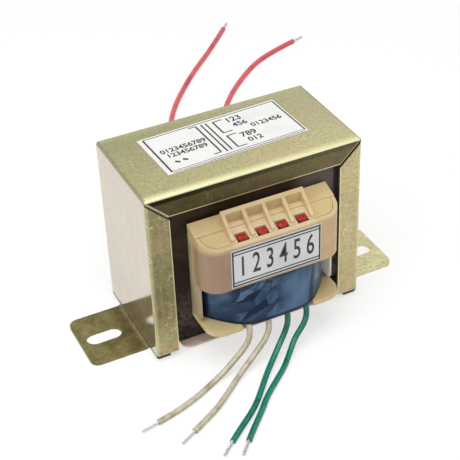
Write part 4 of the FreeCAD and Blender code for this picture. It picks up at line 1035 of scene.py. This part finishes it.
def crumple(x, y, z):
    """How far the film lifts at a place, in metres, and how hazy it looks there, with painted light and
    shade from the slope of its creases.
    """
    step = 0.12 * MM
    height = creases(x, y, z)
    slope = (creases(x - 0.6 * step, y, z + step) - height) / step * MM
    wide = noise.noise(Vector((x * 110, y * 110, z * 140)))
    slack = 0.6 if y > 0 else 1.0 - smooth(abs(x - SLACK), *SLACK_FADE)
    lift = 0.22 * (height - 0.6) * (0.12 + 0.88 * slack) + 0.05 * wide
    # Painted light and shade: brighter where a crease slopes up, a painted highlight to the right, and
    # painted shade under the shroud, on the left and along the long crease
    calm = 0.50 + 0.24 * smooth(x, *RIGHT_FADE) + 0.4 * wide + 0.12 * slope
    haze = (1.0 - slack) * calm + slack * (0.40 + 0.18 * slope + 0.25 * wide)
    haze *= 1.0 - 0.85 * smooth(z, *UPPER_FADE)
    haze *= smooth(x, *LEFT_FADE)
    crease = (x - CREASE_X) - CREASE_SLOPE * (z - CREASE_Z)
    haze *= 1.0 - 0.8 * (1.0 - smooth(abs(crease), *CREASE_WIDTH))
    return lift * MM, haze


class TRANSFORMER_OT_wrap(bpy.types.Operator):
    """Wind the blue tape around the windings, with its creases and lifted edges"""
    bl_idname = "transformer.wrap"
    bl_label = "Tape wrap"

    def execute(self, context):
        look = context.scene.transformer_plastic
        around = 320
        rows = 70
        bend = SHROUD_LOW.z - 0.4 * MM
        inset = 0.12 * MM
        half = WRAP_HIGH.x - inset
        foot = WRAP_HIGH.y - inset
        hazes_and_sheens = []
        bm = bmesh.new()
        rings = []
        for row in range(rows + 1):
            z = WRAP_LOW.z + (WRAP_HIGH.z - WRAP_LOW.z) * row / rows
            share = max(0.0, (bend - z) / (bend - WRAP_LOW.z))
            front = foot - FLARE * (1 - share)
            side = front - SLANT * (UPPER_CUT + (LOWER_CUT - UPPER_CUT) * share) * MM
            ring = []
            for place in wrap_outline(half, side, front, around):
                outward = Vector((place.x, place.y)).normalized()
                lift, local_haze_and_sheen = crumple(place.x, place.y, z)
                lift = (lift - 0.05 * MM) * (0.35 + 0.65 * share)
                ring.append(bm.verts.new((place.x + outward.x * lift, place.y + outward.y * lift, z)))
                hazes_and_sheens.append(local_haze_and_sheen)
            rings.append(ring)
        for low, high in zip(rings, rings[1:]):
            join_rings(bm, low, high)
        mesh = mesh_from("tape_wrap", bm)
        haze = mesh.attributes.new(HAZE_AND_SHEEN, "FLOAT", "POINT")
        haze.data.foreach_set("value", hazes_and_sheens)
        shade_smooth(mesh)
        wrap = piece_from("tape_wrap", mesh, tape_film(look), ("outer_wrap",))
        solid = wrap.modifiers.new("film", "SOLIDIFY")
        solid.thickness = FILM
        solid.offset = -1.0
        return {"FINISHED"}


class TRANSFORMER_OT_labels(bpy.types.Operator):
    """Print the two labels with a plain diagram and plain numbers"""
    bl_idname = "transformer.labels"
    bl_label = "Labels"

    def execute(self, context):
        look = context.scene.transformer_labels
        finish(plain_paper("label_paper", look.paper, TOP_PAPER_SHADE, 1200.0), "top_label")
        finish(plain_paper("grey_label_paper", look.grey_paper, FRONT_PAPER_SHADE, 1200.0), "front_label")
        ink = printing_ink()
        line = look.line

        # Diagram on the top label: winding brackets, two core lines and plain numbers
        top = Ink()
        for across, width in BORDER_SIDES:
            top.bar(mm(across, BORDER_LOW), mm(across, BORDER_HIGH), line * width)
        for level, width in BORDER_LINES:
            top.bar(mm(BORDER_SIDES[0][0], level), mm(BORDER_SIDES[1][0], level), line * width)
        for across in CORE_LINES:
            top.bar(mm(across, CORE_LOW), mm(across, CORE_TOP), line * 1.3)
        for spine, high, low, reach in BRACKETS:
            top.bar(mm(spine, low), mm(spine, high), line * 1.4)
            for level in (high, low):
                top.bar(mm(spine, level), mm(spine + reach, level), line)
        for text, across, up, height in TOP_NUMBERS:
            top.number(text, mm(across, up), height * MM)
        for across in DASHES:
            top.bar(mm(across, DASH_HIGH), mm(across + DASH_RUN, DASH_LOW), line * 2.2)
        centre = (TOP_LABEL_LOW + TOP_LABEL_HIGH) / 2
        lay = Matrix.Translation((centre.x, centre.y, TOP_LABEL_HIGH.z)) @ Matrix.Rotation(look.turn, 4, "Z")
        piece_from("top_label_print", top.mesh("top_label_print", lay), ink)

        # Border and numbers on the front label
        front = Ink()
        half = FRONT_LABEL_HIGH.x - SIDE_INSET
        rise = (FRONT_LABEL_HIGH.z - FRONT_LABEL_LOW.z) / 2
        front.outline(half, rise - EDGE_INSET, line * 1.3)
        for level in (-rise + RULE_INSET, rise - RULE_INSET):
            front.bar((-half, level), (half, level), line)
        front.number("1 2 3 4 5 6", (0.0, 0.0), 5.0 * MM, stretch=0.57, weight=0.06 * MM)
        middle = (FRONT_LABEL_LOW + FRONT_LABEL_HIGH) / 2
        lay = Matrix.Translation((0.0, FRONT_LABEL_LOW.y, middle.z)) @ Matrix.Rotation(math.pi / 2, 4, "X")
        piece_from("front_label_print", front.mesh("front_label_print", lay), ink)
        return {"FINISHED"}


class TRANSFORMER_PT_parts(bpy.types.Panel):
    """Settings and steps of the transformer"""
    bl_idname = "TRANSFORMER_PT_parts"
    bl_label = "Transformer"
    bl_space_type = "VIEW_3D"
    bl_region_type = "UI"
    bl_category = "Transformer"

    def draw(self, context):
        for step in STEPS:
            self.layout.operator(step.bl_idname, text=step.bl_label)
        for name, look in LOOKS.items():
            box = self.layout.box()
            settings = getattr(context.scene, name)
            for key in look.__annotations__:
                box.prop(settings, key)


STEPS = (TRANSFORMER_OT_stage, TRANSFORMER_OT_leads, TRANSFORMER_OT_frame, TRANSFORMER_OT_core,
         TRANSFORMER_OT_mouldings, TRANSFORMER_OT_wrap, TRANSFORMER_OT_labels)


def register():
    for kind in (*LOOKS.values(), *STEPS, TRANSFORMER_PT_parts):
        bpy.utils.register_class(kind)
    for name, look in LOOKS.items():
        setattr(bpy.types.Scene, name, bpy.props.PointerProperty(type=look))


def unregister():
    for name in LOOKS:
        delattr(bpy.types.Scene, name)
    for kind in reversed((*LOOKS.values(), *STEPS, TRANSFORMER_PT_parts)):
        bpy.utils.unregister_class(kind)


def main():
    register()
    for step in STEPS:
        group, name = step.bl_idname.split(".")
        getattr(getattr(bpy.ops, group), name)()
    bpy.context.view_layer.update()


if __name__ == "__main__":
    main()
